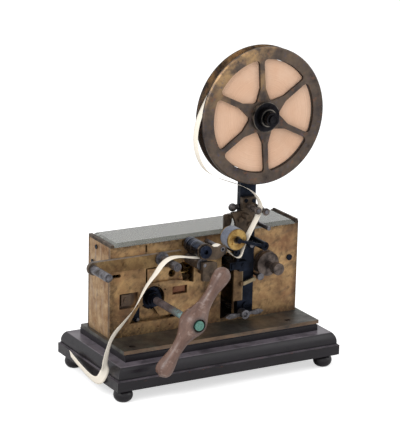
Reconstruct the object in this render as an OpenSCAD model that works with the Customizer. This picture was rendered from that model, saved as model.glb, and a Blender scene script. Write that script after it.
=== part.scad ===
// Clockwork Morse tape register: a spring-driven paper transport in a brass case
// with a glass top, an inked printing wheel, a writing lever worked by an
// electromagnet, and a paper reel on a flat steel post, all on a moulded plinth.
// X runs along the case, +Y goes back from the front plate, Z is up from the table.

/* [Plinth] */
// Length of the wooden plinth
plinth_w = 271.6; // [260:0.1:300]
// Depth of the wooden plinth
plinth_d = 140.5; // [135:0.1:160]
// How far the plinth stands out in front of the front plate
plinth_front = 59.8; // [55:0.1:65]
// Height of the bun feet
foot_h = 14; // [12:0.5:18]

/* [Case] */
// Length of the brass case
case_w = 230; // [226:0.5:232]
// Depth of the brass case
case_d = 51; // [50:0.5:54]
// Height of the brass case above the base plate
case_h = 99.5; // [98:0.5:104]
// Thickness of the front, back and end plates
plate_t = 3; // [2.5:0.1:3.2]
// Thickness of the bronze base plate
base_t = 3.9; // [3:0.1:5]
// Thickness of the glass lid
glass_t = 4.2; // [3:0.1:5]

/* [Reel] */
// Radius of the reel's flanges
reel_r = 73.5; // [70:0.5:76]
// Radius of the opening inside each flange's rim
reel_rim_r = 60.7; // [58:0.1:64]
// Clear width between the flanges
reel_gap = 11; // [10.2:0.1:11.5]
// Thickness of each flange
flange_t = 3; // [2:0.1:3.2]
// Height of the reel's spindle above the table
reel_z = 283.7; // [282:0.1:300]
// Number of spokes in each flange
spokes = 6; // [5:1:8]

/* [Winding] */
// Length of the wooden winding handle
handle_len = 130.5; // [120:0.5:140]
// Radius of the handle's boss, where the arbor goes through it
boss_r = 14.6; // [13:0.1:18]
// Radius of the handle's round ends
bulb_r = 9.2; // [8:0.1:10]
// Angle of the handle from the plinth's front edge, at rest
handle_angle = 54.4; // [0:0.1:90]

/* [Paper] */
// Width of the paper tape
tape_w = 9.5; // [9:0.1:10]
// Thickness that the tape is drawn with
tape_t = 0.3; // [0.2:0.05:0.4]
// Radius of the paper left on the reel
roll_r = 60; // [40:0.1:60.4]

/* [Hidden] */

$fn = 48;
fit = 0.05;                 // running clearance of a pivot in its hole
gap = 0.3;                  // clearance between curved parts of different bodies
cut = 0.5;                  // how far a cutter runs past the face it opens

// heights that stack up from the table
slab_z = 26.7;              // top arris of the plinth's lower slab
ledge_z = 39.2;             // top of the ovolo moulding
deck_z = 47.2;              // top of the plinth, under the base plate
floor_z = deck_z + base_t;  // inside floor of the case
roof_z = floor_z + case_h;  // top edge of the case plates
post_x = 45.9;              // middle of the reel post
post_w = 19.4;
post_t = 6.3;
reel_y = -25.5;             // middle plane of the reel, before the front plate
tape_y = -25.5;             // middle plane of the tape among the rollers
handle_y = -84;             // middle plane of the winding handle
nut_y = -97.5;              // front end of the winding arbor
arm_end_x = -136;           // centre of the guide arm's round left end
arm_half = 7.1;             // half the height of the guide arm

// the origin is below the middle of the whole object, handle and guide arm included
mid_x = (arm_half - arm_end_x - plinth_w / 2) / 2;
front_y = (-nut_y - (plinth_d - plinth_front)) / 2;

// arbor positions, as [x from the middle of the case, height above the table]
barrel_at = [-62.5, 88.2];
feed_at = [-21.4, 129.6];
print_at = [22.4, 135.7];
ink_at = [19.1, 151.9];
upper_at = [-22, 145];
press_at = [-0.3, 144.8];
middle_at = [-57, 133.8];
left_at = [-137, 132.5];
turn_at = [36.4, 144.6];
inlet_a_at = [43.6, 180.9];
inlet_b_at = [53.7, 178.5];
ink_pivot_at = [50.6, 142.3];
lever_at = [44, 112];
tension_at = [72.4, 112];
limit_at = [59.4, 101];
stop_at = [39.3, 62.2];
click_at = [-80, 67];

// roller radii
feed_r = 6.8;
upper_r = 8.1;
print_r = 4.2;
ink_r = 12;
roller_r = 4.6;

// the train: modules and tooth counts
barrel_m = 0.9;
barrel_z = 72;
second_pinion_z = 12;
train_m = 0.6;
second_z = 66;
feed_pinion_z = 12;
feed_z = 60;
idler_z = 40;
print_z = 20;
gov_pinion_z = 12;
gov_m = 0.5;
gov_z = 50;
fly_z = 10;
ratchet_z = 20;
ratchet_r = 13;

// planes of the wheels, behind the front plate's face
ratchet_y = 5.6;
second_y = 12;
great_y = 20;
feed_y = 26;
gov_y = 38;
wheel_t = 2;

// angle of the line from point a to point b, and a point on that line
function bearing(a, b) = atan2(b[1] - a[1], b[0] - a[0]);
function dist(a, b) = norm(b - a);
// where a wheel's axis lies when it stands ra from a and rb from b, on a's clockwise side
function below(a, b, ra, rb) =
    let (d = dist(a, b),
         turn = acos((ra * ra + d * d - rb * rb) / (2 * ra * d)),
         way = bearing(a, b) - turn)
    a + ra * [cos(way), sin(way)];

second_at = below(barrel_at, feed_at,
    barrel_m * (barrel_z + second_pinion_z) / 2, train_m * (second_z + feed_pinion_z) / 2);
idler_at = below(feed_at, print_at,
    train_m * (feed_z + idler_z) / 2, train_m * (idler_z + print_z) / 2);
gov_at = feed_at + train_m * (feed_z + gov_pinion_z) / 2 * [cos(-50), sin(-50)];
fly_at = gov_at + gov_m * (gov_z + fly_z) / 2 * [cos(-65), sin(-65)];

// phase of a wheel b whose tooth gap meets a tooth of wheel a, turned by phase_a
function meshed(a, b, za, zb, phase_a) =
    let (way = bearing(a, b))
    way + 180 + 180 / zb + (way - phase_a) * za / zb;

second_pinion_phase = meshed(barrel_at, second_at, barrel_z, second_pinion_z, 0);
second_phase = 0;
feed_pinion_phase = meshed(second_at, feed_at, second_z, feed_pinion_z, second_phase);
feed_phase = 0;
idler_phase = meshed(feed_at, idler_at, feed_z, idler_z, feed_phase);
print_phase = meshed(idler_at, print_at, idler_z, print_z, idler_phase);
gov_pinion_phase = meshed(feed_at, gov_at, feed_z, gov_pinion_z, feed_phase);
gov_phase = 0;
fly_phase = meshed(gov_at, fly_at, gov_z, fly_z, gov_phase);

// places a child by its distance from the case's middle, the front plate and the table
module at(x, y, z) translate([mid_x + x, front_y + y, z]) children();

// turns a flat outline in X and Z into a plate from y back to y + t
module slice(y, t) at(0, y + t, 0) rotate([90, 0, 0]) linear_extrude(t) children();

// a round bar along Y, from y0 back to y1
module bar(p, y0, y1, r) at(p[0], y1, p[1]) rotate([90, 0, 0]) cylinder(h = y1 - y0, r = r);

// a bar with a bore right through
module bush(p, y0, y1, r, bore) {
    difference() {
        bar(p, y0, y1, r);
        bar(p, y0 - cut, y1 + cut, bore);
    }
}

// a slotted round screw head whose flat face looks to the front
module screw_head(p, y, r, h) {
    difference() {
        bar(p, y - h, y, r);
        at(p[0], y - h, p[1]) rotate([0, 20, 0]) cube([2 * r + cut, h, r / 4], center = true);
    }
}

module disc_at(p, r) translate(p) circle(r);
module box_at(x0, x1, z0, z1) translate([x0, z0]) square([x1 - x0, z1 - z0]);

// one clock tooth: radial flanks below the pitch circle, a pointed ogive above it
function tooth(m, z, thick, add, n) =
    let (rp = m * z / 2, pitch = 360 / z, half = thick * pitch / 2, way = n * pitch)
    [
        [rp - 1.3 * m, way - half * 0.92], [rp, way - half], [rp + add * m * 0.6, way - half * 0.68],
        [rp + add * m, way - half * 0.22], [rp + add * m, way + half * 0.22],
        [rp + add * m * 0.6, way + half * 0.68], [rp, way + half], [rp - 1.3 * m, way + half * 0.92]
    ];
module gear(m, z, thick = 0.45, add = 0.95) {
    points = [for (n = [0 : z - 1]) each tooth(m, z, thick, add, n)];
    polygon([for (p = points) p[0] * [cos(p[1]), sin(p[1])]]);
}

// a crossed-out clock wheel: toothed rim, hub and arms
module crossed_wheel(m, z, arms, hub_r) {
    rim = m * z / 2 - 3.2 * m;
    difference() {
        gear(m, z);
        circle(rim);
    }
    circle(hub_r);
    for (n = [0 : arms - 1]) rotate(n * 360 / arms + 7)
        translate([hub_r / 2, -m]) square([rim - hub_r / 2 + 0.3, 2 * m]);
}

// a wheel or pinion standing on its axis, its teeth turned by phase
module toothed(p, y, t, phase) at(p[0], y + t, p[1]) rotate([90, 0, 0])
    rotate(phase) linear_extrude(t) children();

// ---------------------------------------------------------------- plinth and case

// the plinth's outline across one direction, half-width given: slab, ovolo, ledge and fascia
module plinth_profile(half) {
    ovolo_r = 13.9;
    ovolo_inset = 16.1;
    ovolo_z = slab_z + 2.3;
    box_at(-half, half, foot_h + 0.8, slab_z - 1.2);
    box_at(1.5 - half, half - 1.5, foot_h, slab_z);
    intersection() {
        union() {
            translate([ovolo_inset - half, ovolo_z]) circle(ovolo_r, $fn = 96);
            translate([half - ovolo_inset, ovolo_z]) circle(ovolo_r, $fn = 96);
        }
        box_at(-half, half, slab_z - cut, ledge_z);
    }
    box_at(6.7 - half, half - 6.7, slab_z - cut, ledge_z);
    box_at(17.8 - half, half - 17.8, ledge_z - cut, deck_z - 1);
    box_at(18.8 - half, half - 18.8, ledge_z - cut, deck_z);
}
module plinth() {
    color("#33292c") intersection() {
        at(0, plinth_d - plinth_front, 0) rotate([90, 0, 0]) linear_extrude(plinth_d)
            plinth_profile(plinth_w / 2);
        at(-plinth_w / 2, plinth_d / 2 - plinth_front, 0) rotate([90, 0, 90])
            linear_extrude(plinth_w) plinth_profile(plinth_d / 2);
    }
}

// turned bun feet, flat below
module bun_feet() {
    inset = 13;
    bun_r = 10.3;
    for (x = [-1, 1], y = [inset - plinth_front, plinth_d - plinth_front - inset])
        color("#2a2326") at(x * (plinth_w / 2 - inset), y, 0) rotate_extrude() {
            intersection() {
                translate([bun_r - 7.4, foot_h / 2]) circle(7.4);
                square([bun_r, foot_h]);
            }
            square([bun_r - 6, foot_h]);
            translate([0, foot_h - 2]) square([bun_r - 2.6, 2]);
        }
}

base_screws = [[-104, -30], [88.3, -27.2], [-60, 54.9], [60, 54.9]];
module base_plate() {
    color("#6f6553") difference() {
        at(-119.5, -41.4, deck_z) cube([239, 100, base_t]);
        for (p = base_screws) at(p[0], p[1], deck_z - cut) cylinder(h = base_t + 2 * cut, r = 1.7);
        for (p = base_screws) at(p[0], p[1], floor_z - 1.6) cylinder(h = 1.6 + cut, r = 3.5);
    }
}
// line terminals on the plinth's rear ledge: collar, cross-bored pillar and thumb nut
terminal_x = [-20, 20];
terminal_y = plinth_d - plinth_front - 10.5;
terminal_bore_z = ledge_z + 8;
module binding_posts() {
    for (x = terminal_x) color("#a8864d") difference() {
        at(x, terminal_y, ledge_z) {
            cylinder(h = 2.4, r = 5.6);
            cylinder(h = 13, r = 3.8);
            translate([0, 0, 13]) cylinder(h = 2, r = 2.2);
            translate([0, 0, 14.6]) cylinder(h = 4.6, r = 5.2);
            translate([0, 0, 19]) cylinder(h = 2.4, r = 2.6);
        }
        at(x, terminal_y - 8, terminal_bore_z) rotate([-90, 0, 0]) cylinder(h = 16, r = 1.5);
    }
}

// openings in the front plate
module ratchet_window() {
    disc_at(barrel_at + [-0.8, 1.4], 13.2);
    polygon([[-92, 64.5], [-36, 64.5], [-46, 76], [-52, 82], [-74, 84], [-80, 83]]);
}
module roller_window() {
    polygon([[-73, 106], [-37, 106.5], [-27, 104], [-15, 101], [-15, 125], [-30, 125], [-73, 123.5]]);
}
module front_plate_outline() {
    difference() {
        box_at(-case_w / 2, case_w / 2, floor_z, roof_z);
        ratchet_window();
        roller_window();
        box_at(-104, -82, 82, 99);
        box_at(-40.5, -22.5, 90, 99);
        box_at(19, 35, floor_z + 3, 128);
        box_at(-111.4, -104.6, 117.6, 121.4);
        for (x = [-111.4, -104.6]) disc_at([x, 119.5], 1.9);
        disc_at(feed_at, 2.6);
        for (x = [-73, -29]) box_at(x - 1.1, x + 1.1, 141.7, roof_z - 1.6);
        for (p = [[-49.5, 97.5], [-57, 103], [-80, 58], [-57, 57], [-43, 57.5]]) disc_at(p, 0.9);
        for (p = [gov_at, fly_at]) disc_at(p, 1 + fit);
        disc_at([104.6, 113.1], 1.4);
        disc_at(lever_at, 1.2 + fit);
        disc_at(print_at, 1.6 + fit);
        for (p = [idler_at, press_at]) disc_at(p, 1.5);
        disc_at(tension_at, 2.5 + fit);
        disc_at(limit_at, 1.6 + fit);
        disc_at(stop_at, 2.2 + fit);
    }
}
module front_plate() color("#9a7f4e") slice(0, plate_t) front_plate_outline();

arbor_holes = [second_at, feed_at, gov_at, fly_at, print_at];
module back_plate() {
    color("#957a4a") slice(case_d - plate_t, plate_t) difference() {
        box_at(-case_w / 2, case_w / 2, floor_z, roof_z);
        for (p = arbor_holes) disc_at(p, 1 + fit);
        disc_at(barrel_at, 4 + fit);
        disc_at(lever_at, 1.2 + fit);
        disc_at(stop_at, 2.2 + fit);
        for (p = pillars()) disc_at(p, 1.7);
    }
}
module end_plates() {
    for (x = [-case_w / 2, case_w / 2 - plate_t]) color("#a08450")
        at(x, plate_t, floor_z) cube([plate_t, case_d - 2 * plate_t, case_h]);
}

function pillars() = concat([[104.6, 113.1]],
    [for (x = [-1, 1], z = [floor_z + 6.5, roof_z - 6]) [x * (case_w / 2 - 6.6), z]]);
module case_pillars() {
    for (p = pillars()) color("#a98c54") bar(p, plate_t, case_d - plate_t, 3);
}
// every visible screw of the case: base plate, front plate, end plates and pillars
end_screws = [[32.3, 144.1], [41, 125.8]];
module screws() {
    for (p = base_screws) color("#4a463e") difference() {
        at(p[0], p[1], floor_z - 1.6) cylinder(h = 1.5, r = 3.4);
        at(p[0], p[1], floor_z) rotate(35 * p[0]) cube([8, 0.9, 1.4], center = true);
    }
    color("#3a3b40") screw_head([104.6, 113.1], 0, 3.4, 1.4);
    for (p = pillars()) color("#3a3b40") bar(p, case_d, case_d + 1.4, 3.2);
    for (side = [-1, 1], p = end_screws) color("#3a3b40")
        at(side * (case_w / 2 + 0.5), p[0], p[1]) rotate([0, 90, 0])
            cylinder(h = 1, r = 2.4, center = true);
    color("#3f434d") screw_head([post_x + 1.1, 68], -post_t, 3.8, 1.8);
    color("#3f434d") screw_head([post_x - 1.4, 134], -post_t, 2.6, 1);
    for (p = [[40.4, 187.4], [50.2, 186.4]]) color("#3f434d") screw_head(p, -11.6, 2.2, 0.9);
}

// plate glass, bevelled all round, lying on the case between two bronze bars
module glass_profile(half) {
    polygon([[-half, roof_z], [half, roof_z], [half, roof_z + 1.2], [half - 3.4, roof_z + glass_t],
        [3.4 - half, roof_z + glass_t], [-half, roof_z + 1.2]]);
}
module glass_top() {
    half_w = case_w / 2 - 4.4;
    color("#aeb3ab", 0.5) intersection() {
        at(0, case_d, 0) rotate([90, 0, 0]) linear_extrude(case_d) glass_profile(half_w);
        at(-half_w, case_d / 2, 0) rotate([90, 0, 90]) linear_extrude(2 * half_w)
            glass_profile(case_d / 2);
    }
}
module glass_end_bars() {
    for (side = [-1, 1]) color("#5d5545")
        at(side * (case_w / 2 - 2), case_d / 2, roof_z + 1.6) cube([4, case_d, 3.2], center = true);
    color("#4c4538") at(case_w / 2 - 1.2, case_d / 2, roof_z + 4) cube([2.4, case_d - 2, 1.6],
        center = true);
}

// a raised pad on its backing, in a frame seen round a window of the front plate
module pad(window, rim, back, face) {
    slice(plate_t, 2.2) difference() {
        box_at(rim[0], rim[1], rim[2], rim[3]);
        box_at(window[0], window[1], window[2], window[3]);
    }
    slice(plate_t + 2.2, 0.7) box_at(back[0], back[1], back[2], back[3]);
    slice(plate_t - 0.4, 2.7) box_at(face[0], face[1], face[2], face[3]);
}
// bridges behind the front plate: they carry pivots, the winding arbor and the click's stud
module inner_plates() {
    color("#8d744c") {
        pad([-104, -82, 82, 99], [-107, -80.6, 78, 103], [-106, -81.5, 80, 101],
            [-100.4, -89.4, 84.6, 96.8]);
        difference() {
            union() {
                pad([-40.5, -22.5, 90, 99], [-45, -19, 86.5, 103], [-43, -20.5, 88, 101],
                    [-39.4, -24, 91.8, 98.6]);
                slice(plate_t, 2.2) polygon([[-69.6, 102.9], [-26, 102.9], [-31, 121], [-69.6, 121]]);
            }
            bar([-40, 113.3], 0, 9, 4.2);
            bar(second_at, 0, 9, 1 + fit);
        }
        slice(plate_t, 2.2) polygon([[-61.5, 79.2], [-57, 72], [-54, 67.5], [-36, 67.5], [-36, 74],
            [-46, 77.5], [-51.4, 82.2]]);
        slice(9, 2) difference() {
            polygon([[-94, 56], [-36, 56], [-40, 74], [-46, 102], [-77, 101], [-94, 76]]);
            disc_at(barrel_at, 4 + fit);
        }
        for (p = [[-42, 60.5], [-49.6, 99.4]]) bar(p, plate_t, 9, 1.8);
    }
    color("#3a3b40") screw_head([-95, 90.6], plate_t - 0.4, 2.9, 1.1);
    color("#3a3b40") screw_head([-36.6, 95.2], plate_t - 0.4, 2.2, 1);
}
module click_spring() {
    color("#39404d") slice(6.4, 2) difference() {
        disc_at([-93, 66], 9);
        disc_at([-93, 66], 8.3);
        box_at(-103, -92.5, 56, 76);
        box_at(-92.5, -80, 55, 66.2);
    }
    color("#39404d") bar([-92.8, 74.6], plate_t, 9, 1.6);
}

// ---------------------------------------------------------------- tape path, fixed parts

module guide_arm() {
    color("#8f7a52") slice(-4, 3.95) difference() {
        union() {
            disc_at([arm_end_x, 132.6], arm_half);
            box_at(arm_end_x, -33, 132.6 - arm_half, 132.6 + arm_half);
        }
        disc_at([-100, 132.6], 1.4);
    }
    color("#3a3b40") screw_head([-100, 132.6], -4, 2.8, 1.2);
}

// fixed pins that the loose rollers turn on, with their end collars, and the studs in the case
module roller_pin(p, y0, y1, r, collar) {
    bar(p, y0, y1, r);
    bar(p, y0 - 0.9, y0, collar);
}
module studs_and_pins() {
    color("#565b66") {
        roller_pin(left_at, -38.6, -4, 2, 3.1);
        roller_pin(middle_at, -39.6, -4, 2, 3);
        roller_pin(turn_at, -33.1, -post_t, 1.8, 2.8);
        for (p = [inlet_a_at, inlet_b_at]) roller_pin(p, -32.3, -11.6, 1.4, 2.2);
        bar([56.6, 160.4], -34, -10.2, 2.3);
        bar(ink_pivot_at, -30, -post_t, 1.95);
        bar(click_at, plate_t, 9, 1.8);
        bar(idler_at, 0, feed_y + wheel_t + 1.6, 1.5);
        bar(idler_at, feed_y + wheel_t + 0.3, feed_y + wheel_t + 1.6, 2.6);
    }
    // the hollow pin that the pressure arm hinges on, and its distance bush
    color("#7b8088") difference() {
        union() {
            bar(press_at, -34.9, -0.1, 2.4);
            bar(press_at, -31.2, -0.1, 2.6);
            bar(press_at, -1, plate_t, 1.5);
        }
        bar(press_at, -35.2, -27, 1.5);
    }
}

// the block that carries the front end of the lower feed roller
module roller_bearing_cock() {
    color("#8b765a") difference() {
        union() {
            slice(-35, 4.6) polygon([[-24, 112.5], [-6.5, 110.5], [-6.5, 124], [-7, 131], [-12, 133],
                [-24, 133]]);
            slice(-34, 33.9) box_at(-9.8, 2, 110.8, 117);
        }
        bar(feed_at, -36, -30, 2 + fit);
    }
    color("#3a3b40") screw_head([-12.6, 117.6], -35, 2.6, 1.2);
}

// the brass upright over the lever's opening, and its stop arm
module lever_bracket() {
    color("#b09468") {
        slice(-post_t - 3, 3) box_at(29.4, 40.8, 75.4, 112.6);
        slice(-post_t - 5.6, 2.6) union() {
            polygon([[37, 92.6], [41.4, 92.8], [53.6, 96.2], [53.6, 99.8], [41, 96.6], [37, 96.6]]);
            disc_at([53.6, 98], 2.2);
        }
    }
}

// soft-iron cores on a yoke, and the two bobbins of insulated wire
coil_x = [69, 92.5];
coil_y = 27;
core_top = 97;
module magnet_frame() {
    color("#43454b") {
        at(coil_x[0] - 11, coil_y - 9, floor_z) cube([coil_x[1] - coil_x[0] + 22, 18, 5]);
        for (x = coil_x) at(x, coil_y, floor_z) cylinder(h = core_top - floor_z, r = 4.6);
    }
}
module magnet_coils() {
    for (x = coil_x) color("#3e4a3a") difference() {
        at(x, coil_y, floor_z + 5.1) {
            cylinder(h = 2, r = 11.5);
            cylinder(h = 36, r = 10.4);
            translate([0, 0, 34]) cylinder(h = 2, r = 11.5);
        }
        at(x, coil_y, floor_z) cylinder(h = 60, r = 4.65);
    }
}

// the pull spring of the writing lever, hung between the lever's tail and the tension arbor
module lever_spring() {
    low = [67.4, 103.8];
    way = bearing(low, tension_at);
    coils = 6;
    color("#6a707a") at(low[0], 6.5, low[1]) rotate([0, -way, 0]) {
        for (n = [0 : coils - 1]) translate([1.6 + n * 0.8, 0, 0]) rotate([0, 90, 0])
            rotate_extrude() translate([1.3, 0]) circle(r = 0.3, $fn = 12);
        translate([1.1, 0, 0]) rotate([0, 90, 0]) cylinder(h = 5.6, r = 0.3);
    }
}

// ---------------------------------------------------------------- reel post and guides

module reel_post() {
    color("#262a33") difference() {
        slice(-post_t, post_t - 0.05) union() {
            box_at(post_x - post_w / 2, post_x + post_w / 2, 57, reel_z);
            disc_at([post_x, reel_z], post_w / 2);
        }
        bar([post_x, reel_z], -7, 1, 4);
        bar(stop_at, -7, 1, 2.2 + fit);
        at(30, clamp_screw_y, clamp_screw_z) rotate([0, 90, 0]) cylinder(h = 11, r = 1.9 + fit);
    }
}
module reel_spindle() {
    color("#3c4048") {
        bar([post_x, reel_z], reel_y + reel_gap / 2 + flange_t + gap, -post_t, 7);
        bar([post_x, reel_z], -53, 0, 4);
        bar([post_x, reel_z], 0, 2.4, 6.5);
    }
}

clamp_screw_z = 179.2;
clamp_screw_y = -3.15;
// the block on the post's front that holds the two inlet pins
module inlet_block() {
    color("#6d5f4c") slice(-11.6, 5.25) union() {
        box_at(post_x - 9.5, 53, 177.2, 190.6);
        disc_at([52.4, 179.6], 3.2);
    }
}
// the dark plate below it that holds the black guide pin
module guide_bracket() {
    color("#4d463f") slice(-10.2, 3.85) union() {
        polygon([[24.2, 175.3], [33, 175.6], [41.5, 176.9], [48.6, 177], [52, 176.2], [53.4, 168.6],
            [57.5, 163], [57.5, 157.5], [51, 156.5], [42.4, 149.8], [36, 150.4], [30.3, 157.4],
            [28.9, 164.8], [26.8, 169.5]]);
        disc_at([56, 159.8], 3.4);
    }
    color("#7c6850") bar([39.6, 170.6], -20, -10.2, 3.4);
    color("#4d463f") bar([34.6, 167], -12.6, -10.2, 2.8);
    color("#4d463f") bar([46.4, 160], -12.2, -10.2, 2.6);
}
// the leg that stands on the front plate and steadies the bracket from the left
module bracket_leg() {
    color("#3c3a3b") {
        slice(-3, 2.9) polygon([[19.5, 143], [19.4, 171.3], [22, 172], [27.5, 172.4], [28.8, 164],
            [26.5, 158], [25, 143]]);
        slice(-6.35, 3.35) box_at(24.3, 28.5, 168, 172.2);
    }
}

// ---------------------------------------------------------------- reel

module reel_flange_outline() {
    spoke_w = 6.6;
    hub = 17.5;
    fillet = 4;
    difference() {
        circle(reel_r, $fn = 96);
        for (n = [0 : spokes - 1]) rotate(n * 360 / spokes + 35) offset(r = fillet, $fn = 32)
            offset(delta = -fillet) difference() {
                intersection() {
                    circle(reel_rim_r, $fn = 96);
                    polygon([[0, 0], [2 * reel_rim_r, 0],
                        2 * reel_rim_r * [cos(360 / spokes), sin(360 / spokes)]]);
                }
                circle(hub + 1, $fn = 96);
                rotate(-1) translate([0, -spoke_w / 2]) square([reel_r, spoke_w]);
                polygon([[0, 0], [hub * 2.2, 0], [hub, 7.6]]);
                rotate(360 / spokes) translate([0, -spoke_w / 2]) square([reel_r, spoke_w]);
                rotate(360 / spokes) mirror([0, 1]) polygon([[0, 0], [hub * 2.2, 0], [hub, 7.6]]);
            }
        circle(5);
    }
}
// a flange whose outer edge is chamfered on its outward side; way 1 looks to the front
module reel_flange(y, way) {
    soft = 1.4;
    intersection() {
        at(post_x, y + flange_t, reel_z) rotate([90, 0, 0])
            linear_extrude(flange_t) reel_flange_outline();
        at(post_x, y + flange_t / 2, reel_z) rotate([way * 90, 0, 0]) rotate_extrude($fn = 96)
            polygon([[0, -flange_t], [reel_r, -flange_t], [reel_r, flange_t / 2 - soft],
                [reel_r - soft, flange_t / 2], [0, flange_t / 2]]);
    }
}
module reel_front_flange() color("#6b5a44") reel_flange(reel_y - reel_gap / 2 - flange_t, 1);
module reel_rear_flange() color("#66563f") reel_flange(reel_y + reel_gap / 2, -1);
module reel_hub() {
    hub_at = [post_x, reel_z];
    face = reel_y - reel_gap / 2 - flange_t;
    color("#3a3d45") difference() {
        union() {
            bar(hub_at, face - 0.05, reel_y + reel_gap / 2 + flange_t, 4.95);
            bar(hub_at, reel_y - reel_gap / 2 + 0.05, reel_y + reel_gap / 2 - 0.05, 15);
            bar(hub_at, face - 4.6, face - 0.05, 15.8);
            bar(hub_at, face - 9.5, face - 4.6, 10.5);
            bar(hub_at, face - 12.6, face - 9.5, 6);
        }
        bar(hub_at, -50, -10, 4 + fit);
    }
}
module reel_nut() {
    hub_at = [post_x, reel_z];
    color("#2f333b") {
        bush(hub_at, -51.5, -46.9, 7.4, 4);
        bush(hub_at, -53.6, -51.5, 4.8, 4);
    }
}
module paper_roll() {
    color("#ecc6a7") bush([post_x, reel_z], reel_y - tape_w / 2, reel_y + tape_w / 2, roll_r, 15.4,
        $fn = 96);
}

// ---------------------------------------------------------------- rollers

module left_guide_roller() color("#7d8189") bush(left_at, -38.5, -4.3, roller_r, 2 + fit);
module middle_guide_roller() {
    color("#7a7f88") bush(middle_at, -39.5, -6.4, roller_r, 2 + fit);
    color("#3d3f44") bush(middle_at, -6.45, -4.2, 7.6, 2 + fit);
}
module flanged_roller(p, y0, y1, core, flange, bore) {
    difference() {
        union() {
            bar(p, y0, y1, core);
            bar(p, y0, y0 + 1.5, flange);
            bar(p, y1 - 1.5, y1, flange);
        }
        bar(p, y0 - cut, y1 + cut, bore);
    }
}
module print_guide_roller() color("#2f3540") flanged_roller(turn_at, -33, -19, 3.6, 4.6, 1.8 + fit);
module inlet_roller(p) {
    color("#b3946a") difference() {
        union() {
            bar(p, -32.2, -12, 2.8);
            bar(p, -32.2, -30.6, 4);
            bar(p, -20.2, -18.6, 4);
        }
        bar(p, -33, -11, 1.4 + fit);
    }
}
module left_inlet_roller() inlet_roller(inlet_a_at);
module right_inlet_roller() inlet_roller(inlet_b_at);

// ---------------------------------------------------------------- train and feed

module arbor(p, y0, y1, r) {
    bar(p, y0, y1, r);
    bar(p, plate_t - 2, case_d - 1, 1);
}

module lower_feed_roller() {
    color("#8a8577") {
        bar(feed_at, -29.6, -2, feed_r);
        bar(feed_at, -34.4, -29.6, 2);
    }
    color("#5a5f69") {
        bar(feed_at, -2, case_d - plate_t - gap, 2);
        bar(feed_at, case_d - plate_t - 1, case_d - 1, 1);
        toothed(feed_at, second_y - 1, 4, feed_pinion_phase) gear(train_m, feed_pinion_z, 0.4, 0.8);
    }
}
module feed_wheel() {
    color("#ad8d52") difference() {
        toothed(feed_at, feed_y, wheel_t, feed_phase) crossed_wheel(train_m, feed_z, 4, 5);
        bar(feed_at, feed_y - 1, feed_y + wheel_t + 1, 2);
    }
}
module upper_feed_roller() {
    color("#3b4352") difference() {
        union() {
            bar(upper_at, -31.2, -2.6, upper_r);
            bar(upper_at, -35, -31.2, 2.4);
            bar(upper_at, -37.4, -34.4, 6.9);
        }
        difference() {
            bar(upper_at, -10.4, -9.2, upper_r + 1);
            bar(upper_at, -11, -9, upper_r - 0.8);
        }
        bar(upper_at, -38, -34.9, 2.5);
    }
}

// the arm that holds the upper roller down on the tape, hinged on the hollow pin
module pressure_arm() {
    color("#9b8360") slice(-34.2, 2.6) difference() {
        polygon([[-29, 141], [-26, 137.2], [-18, 135.4], [-8, 134.4], [-2, 136], [4.4, 140.6],
            [5.4, 144.8], [3.2, 148.6], [-1, 149.4], [-5, 147.6], [-10, 148], [-13.4, 150.6],
            [-19, 153.4], [-25, 153], [-29.6, 148.6]]);
        disc_at(upper_at, 2.4 + fit);
        disc_at(press_at, 2.4 + fit);
    }
}

module printing_wheel() {
    color("#3b3f48") {
        bar(print_at, -28, case_d - plate_t - gap, 1.6);
        bar(print_at, case_d - plate_t - 1, case_d - 1, 1);
        bar(print_at, tape_y - 1, tape_y + 1, print_r);
        bar(print_at, tape_y + 1, tape_y + 5, 2.8);
        toothed(print_at, feed_y - 1, 4, print_phase) gear(train_m, print_z, 0.4, 0.8);
    }
}
module idler_wheel() {
    color("#ad8d52") difference() {
        toothed(idler_at, feed_y, wheel_t, idler_phase) crossed_wheel(train_m, idler_z, 4, 4);
        bar(idler_at, feed_y - 1, feed_y + wheel_t + 1, 1.5 + fit);
    }
}
module second_wheel() {
    color("#5a5f69") {
        difference() {
            bar(second_at, plate_t + 2.5, case_d - plate_t - gap, 1.8);
            bar(second_at, second_y, second_y + wheel_t, 3);
        }
        bar(second_at, plate_t + 0.4, plate_t + 3, 1);
        bar(second_at, case_d - plate_t - 1, case_d - 1, 1);
        toothed(second_at, great_y - 1, 5, second_pinion_phase) gear(barrel_m, second_pinion_z, 0.4, 0.8);
    }
    color("#ad8d52") toothed(second_at, second_y, wheel_t, second_phase)
        crossed_wheel(train_m, second_z, 4, 5);
}

// mainspring barrel with its cover and the great wheel cut on its rim
module spring_barrel() {
    drum_r = 29;
    color("#a68850") difference() {
        union() {
            toothed(barrel_at, great_y, 3, 0) gear(barrel_m, barrel_z);
            bar(barrel_at, great_y + 2.9, 44, drum_r);
            bar(barrel_at, 44, 46.4, 8);
        }
        bar(barrel_at, 2, 50, 4 + fit);
        bar(barrel_at, great_y + 5, 42, drum_r - 1.6);
    }
}

// the spring coiled in the barrel
module mainspring() {
    turns = 8;
    steps = 24 * turns;
    inner = 7;
    coil = [for (n = [0 : steps]) [inner + n * 19.6 / steps, n * 15]];
    color("#55606e") toothed(barrel_at, great_y + 6, 15, 0) polygon(concat(
        [for (c = coil) c[0] * [cos(c[1]), sin(c[1])]],
        [for (n = [steps : -1 : 0]) (coil[n][0] + 0.7) * [cos(coil[n][1]), sin(coil[n][1])]]));
}

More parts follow.
